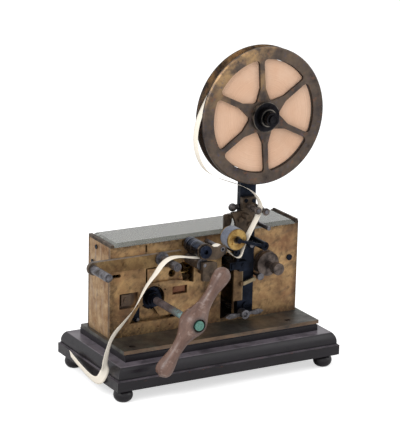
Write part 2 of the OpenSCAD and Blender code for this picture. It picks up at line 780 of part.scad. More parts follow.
// governor arbor with its wheel
module governor() {
    color("#5a5f69") {
        bar(gov_at, plate_t + 0.4, case_d - plate_t - 0.4, 1.4);
        bar(gov_at, 0.6, plate_t + 1, 1);
        bar(gov_at, case_d - plate_t - 1, case_d - 1, 1);
        toothed(gov_at, feed_y - 1, 4, gov_pinion_phase) gear(train_m, gov_pinion_z, 0.4, 0.8);
    }
    color("#ad8d52") toothed(gov_at, gov_y, wheel_t, gov_phase) crossed_wheel(gov_m, gov_z, 4, 3.4);
}

module fly() {
    vane_r = 10.4;
    color("#5a5f69") {
        bar(fly_at, plate_t + 0.4, case_d - plate_t - 0.4, 1.3);
        bar(fly_at, 0.6, plate_t + 1, 1);
        bar(fly_at, case_d - plate_t - 1, case_d - 1, 1);
        toothed(fly_at, gov_y - 1, 4, fly_phase) gear(gov_m, fly_z, 0.4, 0.8);
    }
    color("#a98f58") at(fly_at[0], 25, fly_at[1]) rotate([0, 35, 0])
        cube([2 * vane_r, 18, 0.6], center = true);
}

// ---------------------------------------------------------------- inking

module ink_roller_felt() color("#6d737c") bush(ink_at, -29.5, -16, ink_r, 3);
module ink_roller_cheeks() {
    cheek_r = ink_r - 0.5;
    slot_r = 7.4;
    color("#c2a263") difference() {
        union() {
            bar(ink_at, -31, -29.55, cheek_r);
            bar(ink_at, -15.95, -14.8, cheek_r);
            bar(ink_at, -29.6, -15.9, 2.95);
            bar(ink_at, -32.2, -31, 4);
        }
        bar(ink_at, -33, -14, 1.6 + fit);
        // curved slot, left of the boss
        intersection() {
            bush(ink_at, -32, -30.1, slot_r + 1.5, slot_r - 1.5);
            slice(-32, 2) translate(ink_at) polygon([[0, 0], [-14, 8], [-14, -8]]);
        }
        for (way = [150, 210]) bar(ink_at + slot_r * [cos(way), sin(way)], -32, -30.1, 1.5);
    }
}
module ink_arm() {
    way = bearing(ink_pivot_at, ink_at);
    color("#39414f") {
        difference() {
            bar(ink_pivot_at, -36.8, -post_t - gap, 4.6);
            bar(ink_pivot_at, -30.3, -post_t, 2);
            bar(ink_pivot_at, -38, -35.6, 2);
        }
        slice(-36.6, 2.2) translate(ink_pivot_at) rotate(way) translate([0, -1.6])
            square([dist(ink_pivot_at, ink_at), 3.2]);
        bar(ink_at, -36.8, -32.4, 3);
        bar(ink_at, -33, -14.2, 1.6);
    }
}

// ---------------------------------------------------------------- writing lever and controls

// lever, its arbor and the knife edge that lifts the tape to the printing wheel
module writing_lever() {
    knife_top = print_at[1] - print_r - 0.95;
    color("#2d3038") {
        bar(lever_at, 0.4, case_d - 1, 1.2);
        bar(lever_at, plate_t + 1, 12, 4.4);
        slice(5, 3) polygon([[24, 115], [33, 108.4], [44, 107.6], [66, 102], [66, 105.6], [45, 116.4],
            [33, 117.6], [24, 121]]);
        slice(-29.5, 37.5) box_at(24, 33.4, 115.4, 121);
        slice(-29.5, 9) box_at(12, 33.4, 118, 126.4);
        slice(-31, 1.5) box_at(14, 20, 119.4, 125);
        bar([29, 122.2], -30.6, -29.5, 2.4);
        slice(tape_y - 3, 6) polygon([[20.4, 126], [24.8, 126], [print_at[0] + 0.5, knife_top],
            [print_at[0] - 0.5, knife_top]]);
        at(62, 5, core_top + 4.5) cube([4, 28, 4]);
    }
}
module armature() color("#4b4d53") at(58, coil_y - 6.5, core_top + 1.3) cube([46, 13, 3.2]);

// round drum that winds up the lever's pull, with its long neck and knob
module tension_drum() {
    color("#77706a") {
        bar(tension_at, -3, -1, 14.2);
        bar(tension_at, -9.4, -3, 13.4);
        bar(tension_at, -24, -9.4, 3.9);
        bar(tension_at, -31.4, -24, 6.6);
    }
    color("#5a5f69") bar(tension_at, -1, 14, 2.5);
}
module limit_screw() {
    color("#5e5a58") {
        bar(limit_at, -16, -12.2, 3.9);
        bar(limit_at, -12.2, 4.4, 1.6);
    }
}
// ball-headed screw in the post's edge: ball, neck and collar are one turned outline
module clamp_screw() {
    ball_r = 4.5;
    neck_r = 1.9;
    neck_at = ball_r * sin(acos(neck_r / ball_r));
    ball = [for (a = [-80 : 10 : 60]) ball_r * [cos(a), sin(a)]];
    color("#75787c") at(28.9, clamp_screw_y, clamp_screw_z) rotate([0, 90, 0]) rotate_extrude()
        polygon(concat([[0, -ball_r]], ball, [[neck_r, neck_at], [neck_r, 5], [3, 5], [3, 6.7],
            [neck_r, 6.7], [neck_r, 10], [0, 10]]));
}

// winged stop lever on an arbor that reaches the governor
module stop_lever() {
    leaf = 24;
    color("#7a7078") slice(-18, 3) for (side = [0, 180]) translate(stop_at) rotate(side + 2)
        polygon([[0, -2.2], [9, -1.6], [14, -2.8], [19, -2.8], [leaf, 0], [19, 2.8], [14, 2.8],
            [9, 1.6], [0, 2.2]]);
    color("#7a7078") difference() {
        bar(stop_at, -20, -post_t - 4, 5);
        bar(stop_at, -21, -15.6, 2.6);
    }
    color("#4a4e57") bar(stop_at, -15.6, case_d - 0.6, 2.2);
}

// ---------------------------------------------------------------- winding

module winding_arbor() {
    color("#6f7f7c") {
        bar(barrel_at, -94.8, case_d + 0.6, 4);
        bar(barrel_at, nut_y, -92.2, 5.2);
    }
}
// ratchet and its hub, pressed on the winding arbor
module ratchet_wheel() {
    color("#3c4150") {
        toothed(barrel_at, ratchet_y, 3, 0) difference() {
            polygon([for (n = [0 : 2 * ratchet_z - 1])
                (n % 2 == 0 ? ratchet_r : ratchet_r - 2.4)
                * [cos((n + (n % 2) * 0.8) * 180 / ratchet_z),
                    sin((n + (n % 2) * 0.8) * 180 / ratchet_z)]]);
            circle(4);
        }
        bush(barrel_at, -1, ratchet_y, 8.3, 4);
        bush(barrel_at, -5, -1, 6.4, 4);
    }
}

// the turned handle: its radius at distance s from the middle
handle_neck_r = 6.3;
bulb_s = handle_len / 2 - bulb_r;
function flare(s) = let (t = max(0, min(1, (s - 34) / (bulb_s - 34)))) t * t * (3 - 2 * t);
function handle_r(s) = s > bulb_s
    ? sqrt(max(0.01, bulb_r * bulb_r - (s - bulb_s) * (s - bulb_s)))
    : handle_neck_r + (bulb_r - handle_neck_r) * flare(s) + (boss_r - handle_neck_r) * exp(-s * s / 225);
module winding_handle() {
    half = handle_len / 2;
    stations = concat([for (s = [-half : 2.5 : half]) s]);
    color("#7a5a52") difference() {
        at(barrel_at[0], handle_y, barrel_at[1]) rotate([0, 90 - handle_angle, 0]) rotate_extrude()
            polygon(concat([[0, -half]], [for (s = stations) [handle_r(abs(s)), s]], [[0, half]]));
        bar(barrel_at, handle_y - 20, handle_y + 20, 4.05);
        bar(barrel_at, handle_y - 20, -91.8, 7);
        at(barrel_at[0] - 30, nut_y - 19.9, barrel_at[1] - 30) cube([60, 20, 60]);
    }
}
module click() {
    color("#46527a") slice(6, 2.4) difference() {
        union() {
            disc_at(click_at, 3.6);
            polygon([click_at + [-3.4, 1], click_at + [3.4, -1], [-76.8, 80], [-76, 90.6],
                [-76.6, 92.8], [-79, 90], [-82.4, 80]]);
        }
        disc_at(click_at, 1.8 + fit);
    }
}

// ---------------------------------------------------------------- tape

// the tape's loose run, point by point: [x, y, z] of its middle line
tape_run = [
    [20, -25.5, 338.4], [6.4, -25.5, 331.4], [-5.4, -25.5, 322.6], [-14.8, -25.5, 311.6],
    [-21.4, -25.5, 300.6], [-27, -25.5, 289], [-30.4, -25.5, 277], [-31.4, -25.5, 265],
    [-30, -25.5, 252.5], [-25.4, -25.5, 240.4], [-17.6, -25.5, 229.8], [-5.2, -25.5, 221.6],
    [8, -25.5, 216], [22.4, -25.5, 210.4], [34.6, -25.5, 204.2], [42.6, -25.5, 197.8],
    [47.4, -25.5, 191], [49.6, -25.5, 185.6], [49.2, -25.5, 180.6], [48, -25.5, 176],
    [45.4, -25.5, 170.7], [41.8, -25.5, 164.4], [38.2, -25.5, 158], [34.5, -25.5, 151.5],
    [31.2, -25.5, 146], [28.6, -25.5, 139.6], [26.6, -25.5, 134], [24.8, -25.5, 131.6],
    [22.4, -25.5, 131.1], [19.8, -25.5, 131.6], [16.4, -25.5, 133.8], [12.6, -25.5, 137.6],
    [8.9, -25.5, 141.5], [5.4, -25.5, 144.8], [3, -25.5, 146.8], [-0.2, -25.5, 147.7],
    [-3.6, -25.5, 147.2], [-6.2, -25.5, 145.9], [-9.4, -25.5, 142.6], [-13, -25.5, 138.9],
    [-16.8, -25.5, 137], [-21.6, -25.5, 136.65], [-26.8, -25.5, 136.9], [-34.7, -25.5, 138.1],
    [-44.1, -25.5, 140], [-50.8, -25.5, 140.7], [-56.7, -25.5, 140.4], [-62.6, -25.5, 138.4],
    [-67.8, -25.5, 134.6], [-71.4, -25.5, 130.6], [-75.4, -25.5, 125.6], [-80.6, -25.5, 119.8],
    [-85.8, -25.5, 113.6], [-90, -25.6, 107.2], [-93.6, -25.8, 101], [-97.8, -26.2, 94.4],
    [-103.4, -27, 87.4], [-110, -28.2, 81.6], [-116.6, -29.6, 76.2], [-123.6, -31, 70.6],
    [-130.4, -32.8, 63.2], [-135.2, -34.6, 53.2], [-138.5, -35.6, 41.6], [-138.6, -34.6, 30.6],
    [-140.4, -30, 21.6], [-140.8, -22, 17], [-140.6, -10, 15.8], [-140.4, 6, 17.6],
    [-140.4, 24, 21.4], [-140.4, 42, 26]
];
// the direction across the tape at each point: it runs along Y and turns on edge over the tail
function across(i) = let (t = max(0, min(1, (i - len(tape_run) + 21) / 15)))
    [-0.3 * sin(90 * t), -cos(90 * t), 0.95 * sin(90 * t)];
function along(i) = let (a = tape_run[max(0, i - 1)], b = tape_run[min(len(tape_run) - 1, i + 1)])
    (b - a) / norm(b - a);
function ring(i) =
    let (w = across(i) - (across(i) * along(i)) * along(i),
         side = w / norm(w) * tape_w / 2,
         up = cross(along(i), side) / norm(cross(along(i), side)) * tape_t / 2,
         p = tape_run[i] + [mid_x, front_y, 0])
    [p + side + up, p - side + up, p - side - up, p + side - up];
module paper_tape() {
    rings = len(tape_run);
    color("#f6ebdd") polyhedron(
        points = [for (i = [0 : rings - 1]) each ring(i)],
        faces = concat(
            [[0, 1, 2], [0, 2, 3]],
            [for (i = [0 : rings - 2], k = [0, 1, 3]) each [
                [4 * i + k, 4 * i + 4 + k, 4 * i + 4 + (k + 1) % 4],
                [4 * i + k, 4 * i + 4 + (k + 1) % 4, 4 * i + (k + 1) % 4]]],
            // the lower face folds along the upper one's diagonals, so that the two never cross
            [for (i = [0 : rings - 2]) each [
                [4 * i + 2, 4 * i + 6, 4 * i + 3], [4 * i + 6, 4 * i + 7, 4 * i + 3]]],
            [[4 * rings - 2, 4 * rings - 3, 4 * rings - 4],
             [4 * rings - 1, 4 * rings - 2, 4 * rings - 4]]));
}

plinth();
bun_feet();
base_plate();
binding_posts();
front_plate();
back_plate();
end_plates();
case_pillars();
screws();
glass_top();
glass_end_bars();
inner_plates();
click_spring();
guide_arm();
studs_and_pins();
roller_bearing_cock();
lever_bracket();
magnet_frame();
magnet_coils();
lever_spring();
reel_post();
reel_spindle();
inlet_block();
guide_bracket();
bracket_leg();
paper_tape();
reel_front_flange();
reel_rear_flange();
reel_hub();
reel_nut();
paper_roll();
left_guide_roller();
middle_guide_roller();
print_guide_roller();
left_inlet_roller();
right_inlet_roller();
lower_feed_roller();
feed_wheel();
upper_feed_roller();
pressure_arm();
printing_wheel();
ink_roller_felt();
ink_roller_cheeks();
ink_arm();
writing_lever();
armature();
tension_drum();
limit_screw();
clamp_screw();
stop_lever();
winding_arbor();
ratchet_wheel();
winding_handle();
click();
spring_barrel();
mainspring();
second_wheel();
idler_wheel();
governor();
fly();
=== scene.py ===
"""Finishes, tape, wound roll and felt of a clockwork Morse tape register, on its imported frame."""
import math

import bmesh
import bpy
from bpy.props import FloatProperty, FloatVectorProperty, IntProperty, PointerProperty
from mathutils import Matrix, Vector, noise


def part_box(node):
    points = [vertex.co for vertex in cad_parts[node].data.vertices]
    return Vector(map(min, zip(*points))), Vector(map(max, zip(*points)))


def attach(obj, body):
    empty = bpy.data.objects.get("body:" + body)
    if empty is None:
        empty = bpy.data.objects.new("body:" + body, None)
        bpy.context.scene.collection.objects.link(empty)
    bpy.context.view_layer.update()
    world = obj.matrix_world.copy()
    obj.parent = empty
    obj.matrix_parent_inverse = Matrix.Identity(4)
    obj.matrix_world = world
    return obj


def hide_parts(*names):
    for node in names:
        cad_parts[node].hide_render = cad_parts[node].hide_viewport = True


bl_info = {
    "name": "Morse tape register",
    "version": (1, 0, 0),
    "blender": (4, 5, 0),
    "location": "View3D > Sidebar > Register",
    "description": "Dresses the frame of a clockwork Morse tape register",
    "category": "Object",
}

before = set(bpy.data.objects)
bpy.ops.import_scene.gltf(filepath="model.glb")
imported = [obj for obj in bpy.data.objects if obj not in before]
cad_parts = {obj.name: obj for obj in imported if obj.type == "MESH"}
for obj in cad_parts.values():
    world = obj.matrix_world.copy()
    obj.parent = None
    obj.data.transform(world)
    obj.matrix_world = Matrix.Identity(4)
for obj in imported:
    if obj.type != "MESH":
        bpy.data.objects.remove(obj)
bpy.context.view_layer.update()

MM = 0.001

# where the instrument's own zero, the middle of the case's front plate, lies in the frame
CASE_MIDDLE = (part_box("front_plate")[0][0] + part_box("front_plate")[1][0]) / 2
CASE_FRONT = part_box("front_plate")[0][1]

# how the camera is turned, in degrees, and the width of its sensor in millimetres
CAMERA_YAW = 30.02
CAMERA_PITCH = 15.99
CAMERA_ROLL = 1.43
SENSOR_WIDTH = 36

# name, place, power in watts and width in metres of each lamp, and the place they all face
LAMPS = (
    ("window_left", (-1.45, -0.75, 1.35), 20.0, 1.1),
    ("fill_right", (1.3, -1.1, 0.9), 4.5, 1.0),
)
LAMP_TARGET = Vector((0.0, 0.0, 0.14))

# half the table's width in metres, how much of the backdrop's colour it has, and how much it glows
TABLE_REACH = 6.0
TABLE_SHADE = 0.86
TABLE_GLOW = 0.6

# places on the instrument in its own millimetres, from the case's middle, front plate and the table
WINDING_ARBOR = (-62.5, 0, 88.2)
# middle of the ring of painted shade round the winding arbor's hole
ARBOR_SHADE_CENTRE = (-63.3, 0, 89.6)
# middle of the ring of painted shade round the writing lever's slot
SLOT_SHADE_CENTRE = (18, 0, 92)
STOP_ARM_ROOT = (42, 0, 0)

# the screws of the pads behind the windows: X, Z and the colour that the brass has gone round each
PAD_SCREWS = ((-94.5, 90.6, "#574E48"), (-31.5, 95, "#6E4233"))

# height, half width and strength of the painted highlight along each of the plinth's upper arrises
PLINTH_ARRIS_HIGHLIGHTS = ((25.9, 1.0, 0.7), (39.1, 0.5, 0.75), (47.1, 0.5, 0.6))
SLAB_TOP = 26.7

# radii of the hub's turned steps in millimetres, slope of the handle in degrees from level, and
# radius of the felt sleeve's bore in millimetres
HUB_STEPS = (16.2, 9.2)
HANDLE_SLOPE = 54.4
FELT_BORE = 3


def in_frame(x, y, z):
    """A place given in the instrument's millimetres, in the frame."""
    return Vector((CASE_MIDDLE + x * MM, CASE_FRONT + y * MM, z * MM))


def middle(name):
    """The middle of a CAD node's box."""
    low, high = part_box(name)
    return (Vector(low) + Vector(high)) / 2


def radius(name):
    """The radius of a CAD node that is round about an axis along Y."""
    low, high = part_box(name)
    return (high[0] - low[0]) / 2


def linear(hex_text):
    """An sRGB hex colour as linear red, green, blue and alpha."""
    parts = [int(hex_text[i : i + 2], 16) / 255 for i in (1, 3, 5)]
    curve = [p / 12.92 if p <= 0.04045 else ((p + 0.055) / 1.055) ** 2.4 for p in parts]
    return (*curve, 1.0)


# ------------------------------------------------------------------ settings


class StageSettings(bpy.types.PropertyGroup):
    camera_distance: FloatProperty(
        name="Camera distance", description="From the lens to the front plate's middle, on the table plane",
        default=2.101, min=0.5, unit="LENGTH",
    )
    camera_height: FloatProperty(
        name="Camera height", description="Height of the lens above the table",
        default=0.7686, min=0.0, unit="LENGTH",
    )
    camera_side: FloatProperty(
        name="Camera bearing", description="Angle of the camera round the instrument, from straight in front",
        default=math.radians(30.23), unit="ROTATION",
    )
    focal_length: FloatProperty(
        name="Focal length", description="Focal length of the lens on a 36 mm sensor, in millimetres",
        default=185.1, min=20,
    )
    backdrop: FloatVectorProperty(
        name="Backdrop", description="Colour of the table and the wall behind",
        subtype="COLOR", size=3, min=0, max=1, default=(1.0, 1.0, 1.0),
    )
    sky_level: FloatProperty(
        name="Sky level", description="Strength of the soft light from all round", default=0.66, min=0,
    )


class PaperSettings(bpy.types.PropertyGroup):
    tape_width: FloatProperty(
        name="Tape width", description="Width of the paper tape", default=9.5 * MM, min=0.005, unit="LENGTH",
    )
    tape_thickness: FloatProperty(
        name="Tape thickness", description="Thickness of the tape",
        default=0.14 * MM, min=0.0001, unit="LENGTH",
    )
    tape_colour: FloatVectorProperty(
        name="Tape colour", description="Colour of the tape's face",
        subtype="COLOR", size=3, min=0, max=1, default=linear("#F7EEDF")[:3],
    )
    roll_colour: FloatVectorProperty(
        name="Roll colour", description="Colour of the wound edges of the paper",
        subtype="COLOR", size=3, min=0, max=1, default=linear("#E6BD9F")[:3],
    )
    windings: IntProperty(
        name="Windings drawn", description="Ridges drawn on the side of the roll", default=58, min=8,
    )


class MetalSettings(bpy.types.PropertyGroup):
    case_colour: FloatVectorProperty(
        name="Case brass", description="Clean colour of the front and back plates",
        subtype="COLOR", size=3, min=0, max=1, default=linear("#CBA776")[:3],
    )
    case_tarnish: FloatVectorProperty(
        name="Case tarnish", description="Colour of the stains on the front and back plates",
        subtype="COLOR", size=3, min=0, max=1, default=linear("#84654A")[:3],
    )
    bronze_colour: FloatVectorProperty(
        name="Bronze", description="Colour of the darkened castings",
        subtype="COLOR", size=3, min=0, max=1, default=linear("#6A5A4B")[:3],
    )
    steel_colour: FloatVectorProperty(
        name="Blued steel", description="Colour of the post, the screws and the levers",
        subtype="COLOR", size=3, min=0, max=1, default=linear("#262B37")[:3],
    )
    arris: FloatProperty(
        name="Arris", description="Width of the softened edges of plates and bars",
        default=0.35 * MM, min=0, unit="LENGTH",
    )


class WoodSettings(bpy.types.PropertyGroup):
    plinth_colour: FloatVectorProperty(
        name="Plinth wood", description="Colour of the polished dark wood",
        subtype="COLOR", size=3, min=0, max=1, default=linear("#17131A")[:3],
    )
    handle_colour: FloatVectorProperty(
        name="Handle wood", description="Colour of the turned handle",
        subtype="COLOR", size=3, min=0, max=1, default=linear("#6E5043")[:3],
    )


class RegisterSettings(bpy.types.PropertyGroup):
    stage: PointerProperty(type=StageSettings, name="Stage", description="Camera, light and table")
    paper: PointerProperty(type=PaperSettings, name="Paper", description="Tape and roll")
    metal: PointerProperty(type=MetalSettings, name="Metal", description="Brass, bronze and steel")
    wood: PointerProperty(type=WoodSettings, name="Wood", description="Plinth and handle")


def settings():
    """The register's settings on the scene."""
    return bpy.context.scene.register_settings


# ------------------------------------------------------------------ nodes and patterns


def add_node(tree, kind, inputs=None, **options):
    """A new node with its options; inputs maps socket names or numbers to values or to sockets."""
    node = tree.nodes.new(kind)
    for name, value in options.items():
        setattr(node, name, value)
    for key, value in (inputs or {}).items():
        socket = node.inputs[key]
        if isinstance(value, bpy.types.NodeSocket):
            tree.links.new(value, socket)
        else:
            socket.default_value = value
    return node


def surface(material):
    """A material's node tree and its surface shader."""
    return material.node_tree, material.node_tree.nodes["Principled BSDF"]


def blank_material(name):
    """A material with nothing but its surface shader: returns material, tree and shader."""
    material = bpy.data.materials.new(name)
    material.use_nodes = True
    return material, *surface(material)


def blotches(tree, size, low, high, stretch=(1, 1, 1), detail=5.0, turn=0.0):
    """A mask from 0 to 1 of patches about size metres across, drawn out along an axis by stretch."""
    place = add_node(tree, "ShaderNodeTexCoord").outputs["Object"]
    turned = add_node(tree, "ShaderNodeMapping", {"Vector": place, "Rotation": (0, turn, 0)})
    scaled = add_node(tree, "ShaderNodeMapping", {
        "Vector": turned.outputs["Vector"], "Scale": [1 / (size * s) for s in stretch],
    })
    cloud = add_node(tree, "ShaderNodeTexNoise", {
        "Vector": scaled.outputs["Vector"], "Scale": 1.0, "Detail": detail, "Roughness": 0.62,
    })
    return add_node(tree, "ShaderNodeMapRange", {
        "Value": cloud.outputs["Fac"], "From Min": low, "From Max": high,
    }).outputs["Result"]


def pits(tree, size, share):
    """A mask that is 1 in small round spots size metres apart, over a share of each cell."""
    place = add_node(tree, "ShaderNodeTexCoord").outputs["Object"]
    cells = add_node(tree, "ShaderNodeTexVoronoi", {"Vector": place, "Scale": 1 / size, "Randomness": 1.0})
    return add_node(tree, "ShaderNodeMapRange", {
        "Value": cells.outputs["Distance"], "From Min": share, "From Max": share * 0.45,
    }).outputs["Result"]


def joined(tree, operation, masks):
    """One mask from several masks or numbers, worked together from the first to the last."""
    result = masks[0]
    for mask in masks[1:]:
        result = add_node(tree, "ShaderNodeMath", {0: result, 1: mask}, operation=operation).outputs[0]
    return result


def turns(tree, distance, spacing):
    """Uneven turns spacing metres apart along a distance, from 0 to 1."""
    return add_node(tree, "ShaderNodeTexNoise", {
        "W": joined(tree, "MULTIPLY", (distance, 1 / spacing)), "Scale": 1.0, "Detail": 2.0,
    }, noise_dimensions="1D").outputs["Fac"]


def ramp(tree, value, start, end):
    """A mask that runs smoothly from 0 where the value is start to 1 where it is end."""
    return add_node(tree, "ShaderNodeMapRange", {
        "Value": value, "From Min": start, "From Max": end,
    }, interpolation_type="SMOOTHSTEP").outputs["Result"]


def place_axis(tree, axis):
    """The position along X, Y or Z of the frame, in metres."""
    place = add_node(tree, "ShaderNodeTexCoord").outputs["Object"]
    return add_node(tree, "ShaderNodeSeparateXYZ", {0: place}).outputs[axis]


def edge_band(tree, axis, edge, reach):
    """A mask that is 1 at an edge and fades over reach metres; a negative reach fades downwards."""
    return ramp(tree, place_axis(tree, axis), edge + reach, edge)


def axis_distance(tree, centre):
    """The distance from an axis along Y through the centre, in metres."""
    place = add_node(tree, "ShaderNodeTexCoord").outputs["Object"]
    out = add_node(tree, "ShaderNodeVectorMath", {0: place, 1: centre}, operation="SUBTRACT")
    flat = add_node(tree, "ShaderNodeVectorMath", {0: out.outputs[0], 1: (1, 0, 1)}, operation="MULTIPLY")
    return add_node(tree, "ShaderNodeVectorMath", {0: flat.outputs[0]}, operation="LENGTH").outputs["Value"]


def ring_band(tree, centre, inner, outer):
    """A mask round an axis along Y: 1 within the inner radius, fading to 0 at the outer one."""
    return ramp(tree, axis_distance(tree, centre), outer, inner)


def beyond_ring(tree, centre, inner, outer):
    """The opposite of ring_band: 0 within the inner radius, rising to 1 at the outer one."""
    return joined(tree, "SUBTRACT", (1.0, ring_band(tree, centre, inner, outer)))


def facing(tree, axis):
    """How squarely a face looks along X, Y or Z, from 0 to 1, whichever way round."""
    normal = add_node(tree, "ShaderNodeTexCoord").outputs["Normal"]
    part = add_node(tree, "ShaderNodeSeparateXYZ", {0: normal}).outputs[axis]
    return add_node(tree, "ShaderNodeMath", {0: part}, operation="ABSOLUTE").outputs[0]


def paint(colour):
    """A colour as a shader takes it: from hex text, from a colour setting, or a socket as it is."""
    if isinstance(colour, str):
        return linear(colour)
    return colour if isinstance(colour, bpy.types.NodeSocket) else (*colour, 1.0)


def tinted(tree, under, over, *masks):
    """The colour over laid on the colour under where all the masks show it; a number weakens it."""
    return add_node(tree, "ShaderNodeMix", {
        0: joined(tree, "MULTIPLY", masks), 6: paint(under), 7: paint(over),
    }, data_type="RGBA").outputs[2]


def lay_over(tree, shader, colour, *masks):
    """Lays one more colour over what a finished shader already has, as tinted does."""
    under = shader.inputs["Base Color"].links[0].from_socket
    tree.links.new(tinted(tree, under, colour, *masks), shader.inputs["Base Color"])


def uneven_gloss(tree, shader, mask, low, high):
    """Roughness that runs from low to high with the mask."""
    gloss = add_node(tree, "ShaderNodeMapRange", {"Value": mask, "To Min": low, "To Max": high})
    tree.links.new(gloss.outputs["Result"], shader.inputs["Roughness"])


def relief(tree, shader, height, depth):
    """Raises the surface by height times depth, depth in metres."""
    bump = add_node(tree, "ShaderNodeBump", {"Height": height, "Distance": depth, "Strength": 0.7})
    tree.links.new(bump.outputs["Normal"], shader.inputs["Normal"])


# ------------------------------------------------------------------ materials


def old_metal(name, clean, tarnish, blotch, rough, brush=(1, 1, 1), brush_size=0.5 * MM, dirt_low=0.56,
              metallic=1.0):
    """Metal with tarnish in blotches, dark specks, brushed relief and uneven gloss."""
    material, tree, shader = blank_material(name)
    dirt = "#1D1814"
    stain = blotches(tree, blotch, 0.38, 0.66)
    cloudy = blotches(tree, blotch * 0.28, 0.35, 0.75)
    speck = pits(tree, 9 * MM, 0.16)
    grime_and_shade = blotches(tree, blotch * 0.6, dirt_low, dirt_low + 0.16)
    colour = tinted(tree, clean, tarnish, stain)
    colour = tinted(tree, colour, tarnish, cloudy, 0.45)
    colour = tinted(tree, colour, dirt, speck, grime_and_shade)
    colour = tinted(tree, colour, dirt, grime_and_shade, 0.42)
    tree.links.new(colour, shader.inputs["Base Color"])
    uneven_gloss(tree, shader, stain, rough - 0.07, rough + 0.16)
    shader.inputs["Metallic"].default_value = metallic
    # brush marks are drawn about half a millimetre apart, coarser than abrasive leaves them, to show
    relief(tree, shader, blotches(tree, brush_size, 0.2, 0.8, brush, 3.0), 0.05 * MM)
    return material


def rolled_brass():
    """Rolled brass plate, unlacquered: dull gold, browned and reddened in clouds, speckled near its foot."""
    metal = settings().metal
    material = old_metal("rolled_brass_unlacquered", metal.case_colour, metal.case_tarnish,
                         blotch=26 * MM, rough=0.46, brush=(14, 1, 1), metallic=0.82)
    tree, shader = surface(material)
    (left, _, floor), (right, _, roof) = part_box("front_plate")
    lay_over(tree, shader, "#8C5F47", blotches(tree, 15 * MM, 0.5, 0.72, turn=1.1), 0.5)
    lay_over(tree, shader, "#5F564C", blotches(tree, 9 * MM, 0.5, 0.75, (2.2, 1, 0.8), turn=0.4), 0.55)
    # painted shade darkens the plate's margins and a ring round the winding arbor's hole, broken up in
    # blotches
    margin_shade = joined(tree, "MAXIMUM", (
        edge_band(tree, "Z", floor, 11 * MM), edge_band(tree, "Z", roof, -7 * MM),
        edge_band(tree, "X", left, 12 * MM), edge_band(tree, "X", right, -7 * MM),
        ring_band(tree, in_frame(*ARBOR_SHADE_CENTRE), 12 * MM, 26 * MM),
    ))
    lay_over(tree, shader, "#3D3026", margin_shade, blotches(tree, 4 * MM, 0.25, 0.6), 0.75)
    foot = joined(tree, "MULTIPLY", (
        edge_band(tree, "X", left, 70 * MM), edge_band(tree, "Z", floor, 42 * MM),
    ))
    lay_over(tree, shader, "#2E2822", foot, blotches(tree, 3 * MM, 0.35, 0.62), 0.8)
    lay_over(tree, shader, "#C79A4E", foot, blotches(tree, 1.4 * MM, 0.56, 0.7), 0.7)
    # painted shade blackens the plate round the writing lever's slot, under the machinery that stands in
    # front of it
    slot_shade = ring_band(tree, in_frame(*SLOT_SHADE_CENTRE), 12 * MM, 44 * MM)
    lay_over(tree, shader, "#2B241E", slot_shade, blotches(tree, 7 * MM, 0.2, 0.62), 0.85)
    lay_over(tree, shader, "#4E4034", blotches(tree, 5 * MM, 0.52, 0.7, (1.6, 1, 1), turn=0.9), 0.6)
    return material


def inner_brass():
    """Brass of the plates behind the windows: as the front plate, browned round the pads' screws."""
    material = rolled_brass()
    material.name = "rolled_brass_behind_windows"
    tree, shader = surface(material)
    for x, z, colour in PAD_SCREWS:
        lay_over(tree, shader, colour, ring_band(tree, in_frame(x, 0, z), 9 * MM, 13 * MM), 0.8)
    return material


def end_brass():
    """Brass end plates: pale grey-gold, drawn out in upright brown streaks."""
    material = old_metal("rolled_brass_streaked", "#BFA27C", "#8E6B4A", blotch=15 * MM, rough=0.5,
                         brush=(1, 1, 14), brush_size=0.6 * MM, metallic=0.75)
    tree, shader = surface(material)
    lay_over(tree, shader, "#6E4E3A", blotches(tree, 3.4 * MM, 0.5, 0.74, (1, 1, 8)), 0.6)
    lay_over(tree, shader, "#A39A98", blotches(tree, 5 * MM, 0.5, 0.75, (1, 1, 6), turn=0.05), 0.5)
    lay_over(tree, shader, "#5A5350", edge_band(tree, "Y", CASE_FRONT + 3 * MM, 3 * MM), 0.8)
    return material


def guide_brass():
    """Brass of the long guide arm: brown gold, with a grey highlight painted along its upper arris."""
    material = old_metal("cast_brass_arris_highlight", "#9C8158", "#6B5136", blotch=17 * MM, rough=0.48,
                         brush=(10, 1, 1), metallic=0.8)
    tree, shader = surface(material)
    (left, _, _), (_, _, top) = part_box("guide_arm")
    # painted highlight: a grey line along the arm's upper arris
    lay_over(tree, shader, "#8F8A86", edge_band(tree, "Z", top, -0.9 * MM), 0.85)
    lay_over(tree, shader, "#56504D", edge_band(tree, "X", left + 4 * MM, 12 * MM), 0.8)
    lay_over(tree, shader, "#4A3B2C", blotches(tree, 5 * MM, 0.52, 0.72), 0.6)
    return material


def turned_brass():
    """Turned brass: brighter and yellower than the plates, with a soft gloss."""
    return old_metal("turned_brass", "#C9A869", "#8A6A3E", blotch=9 * MM, rough=0.36,
                     brush_size=0.4 * MM, dirt_low=0.6)


def cheek_brass():
    """Turned brass of the ink roller's cheeks: its boss gone grey and its rim browned with ink."""
    material = turned_brass()
    tree, shader = surface(material)
    centre = middle("ink_roller_felt")
    lay_over(tree, shader, "#5B554F", ring_band(tree, centre, 3.8 * MM, 4.6 * MM), 0.9)
    lay_over(tree, shader, "#6B5636", beyond_ring(tree, centre, 10.2 * MM, 11.4 * MM), 0.6)
    lay_over(tree, shader, "#3B2F22", blotches(tree, 2.4 * MM, 0.56, 0.72), 0.7)
    return material


def upright_brass():
    """Brass of the upright: dark brown, its stop arm rubbed bright."""
    material = old_metal("cast_brass_browned", "#7E6447", "#4C3B2C", blotch=10 * MM, rough=0.48,
                         brush=(1, 1, 10), metallic=0.8)
    tree, shader = surface(material)
    lay_over(tree, shader, "#A99A7C", edge_band(tree, "X", in_frame(*STOP_ARM_ROOT).x, -3 * MM), 0.8)
    return material


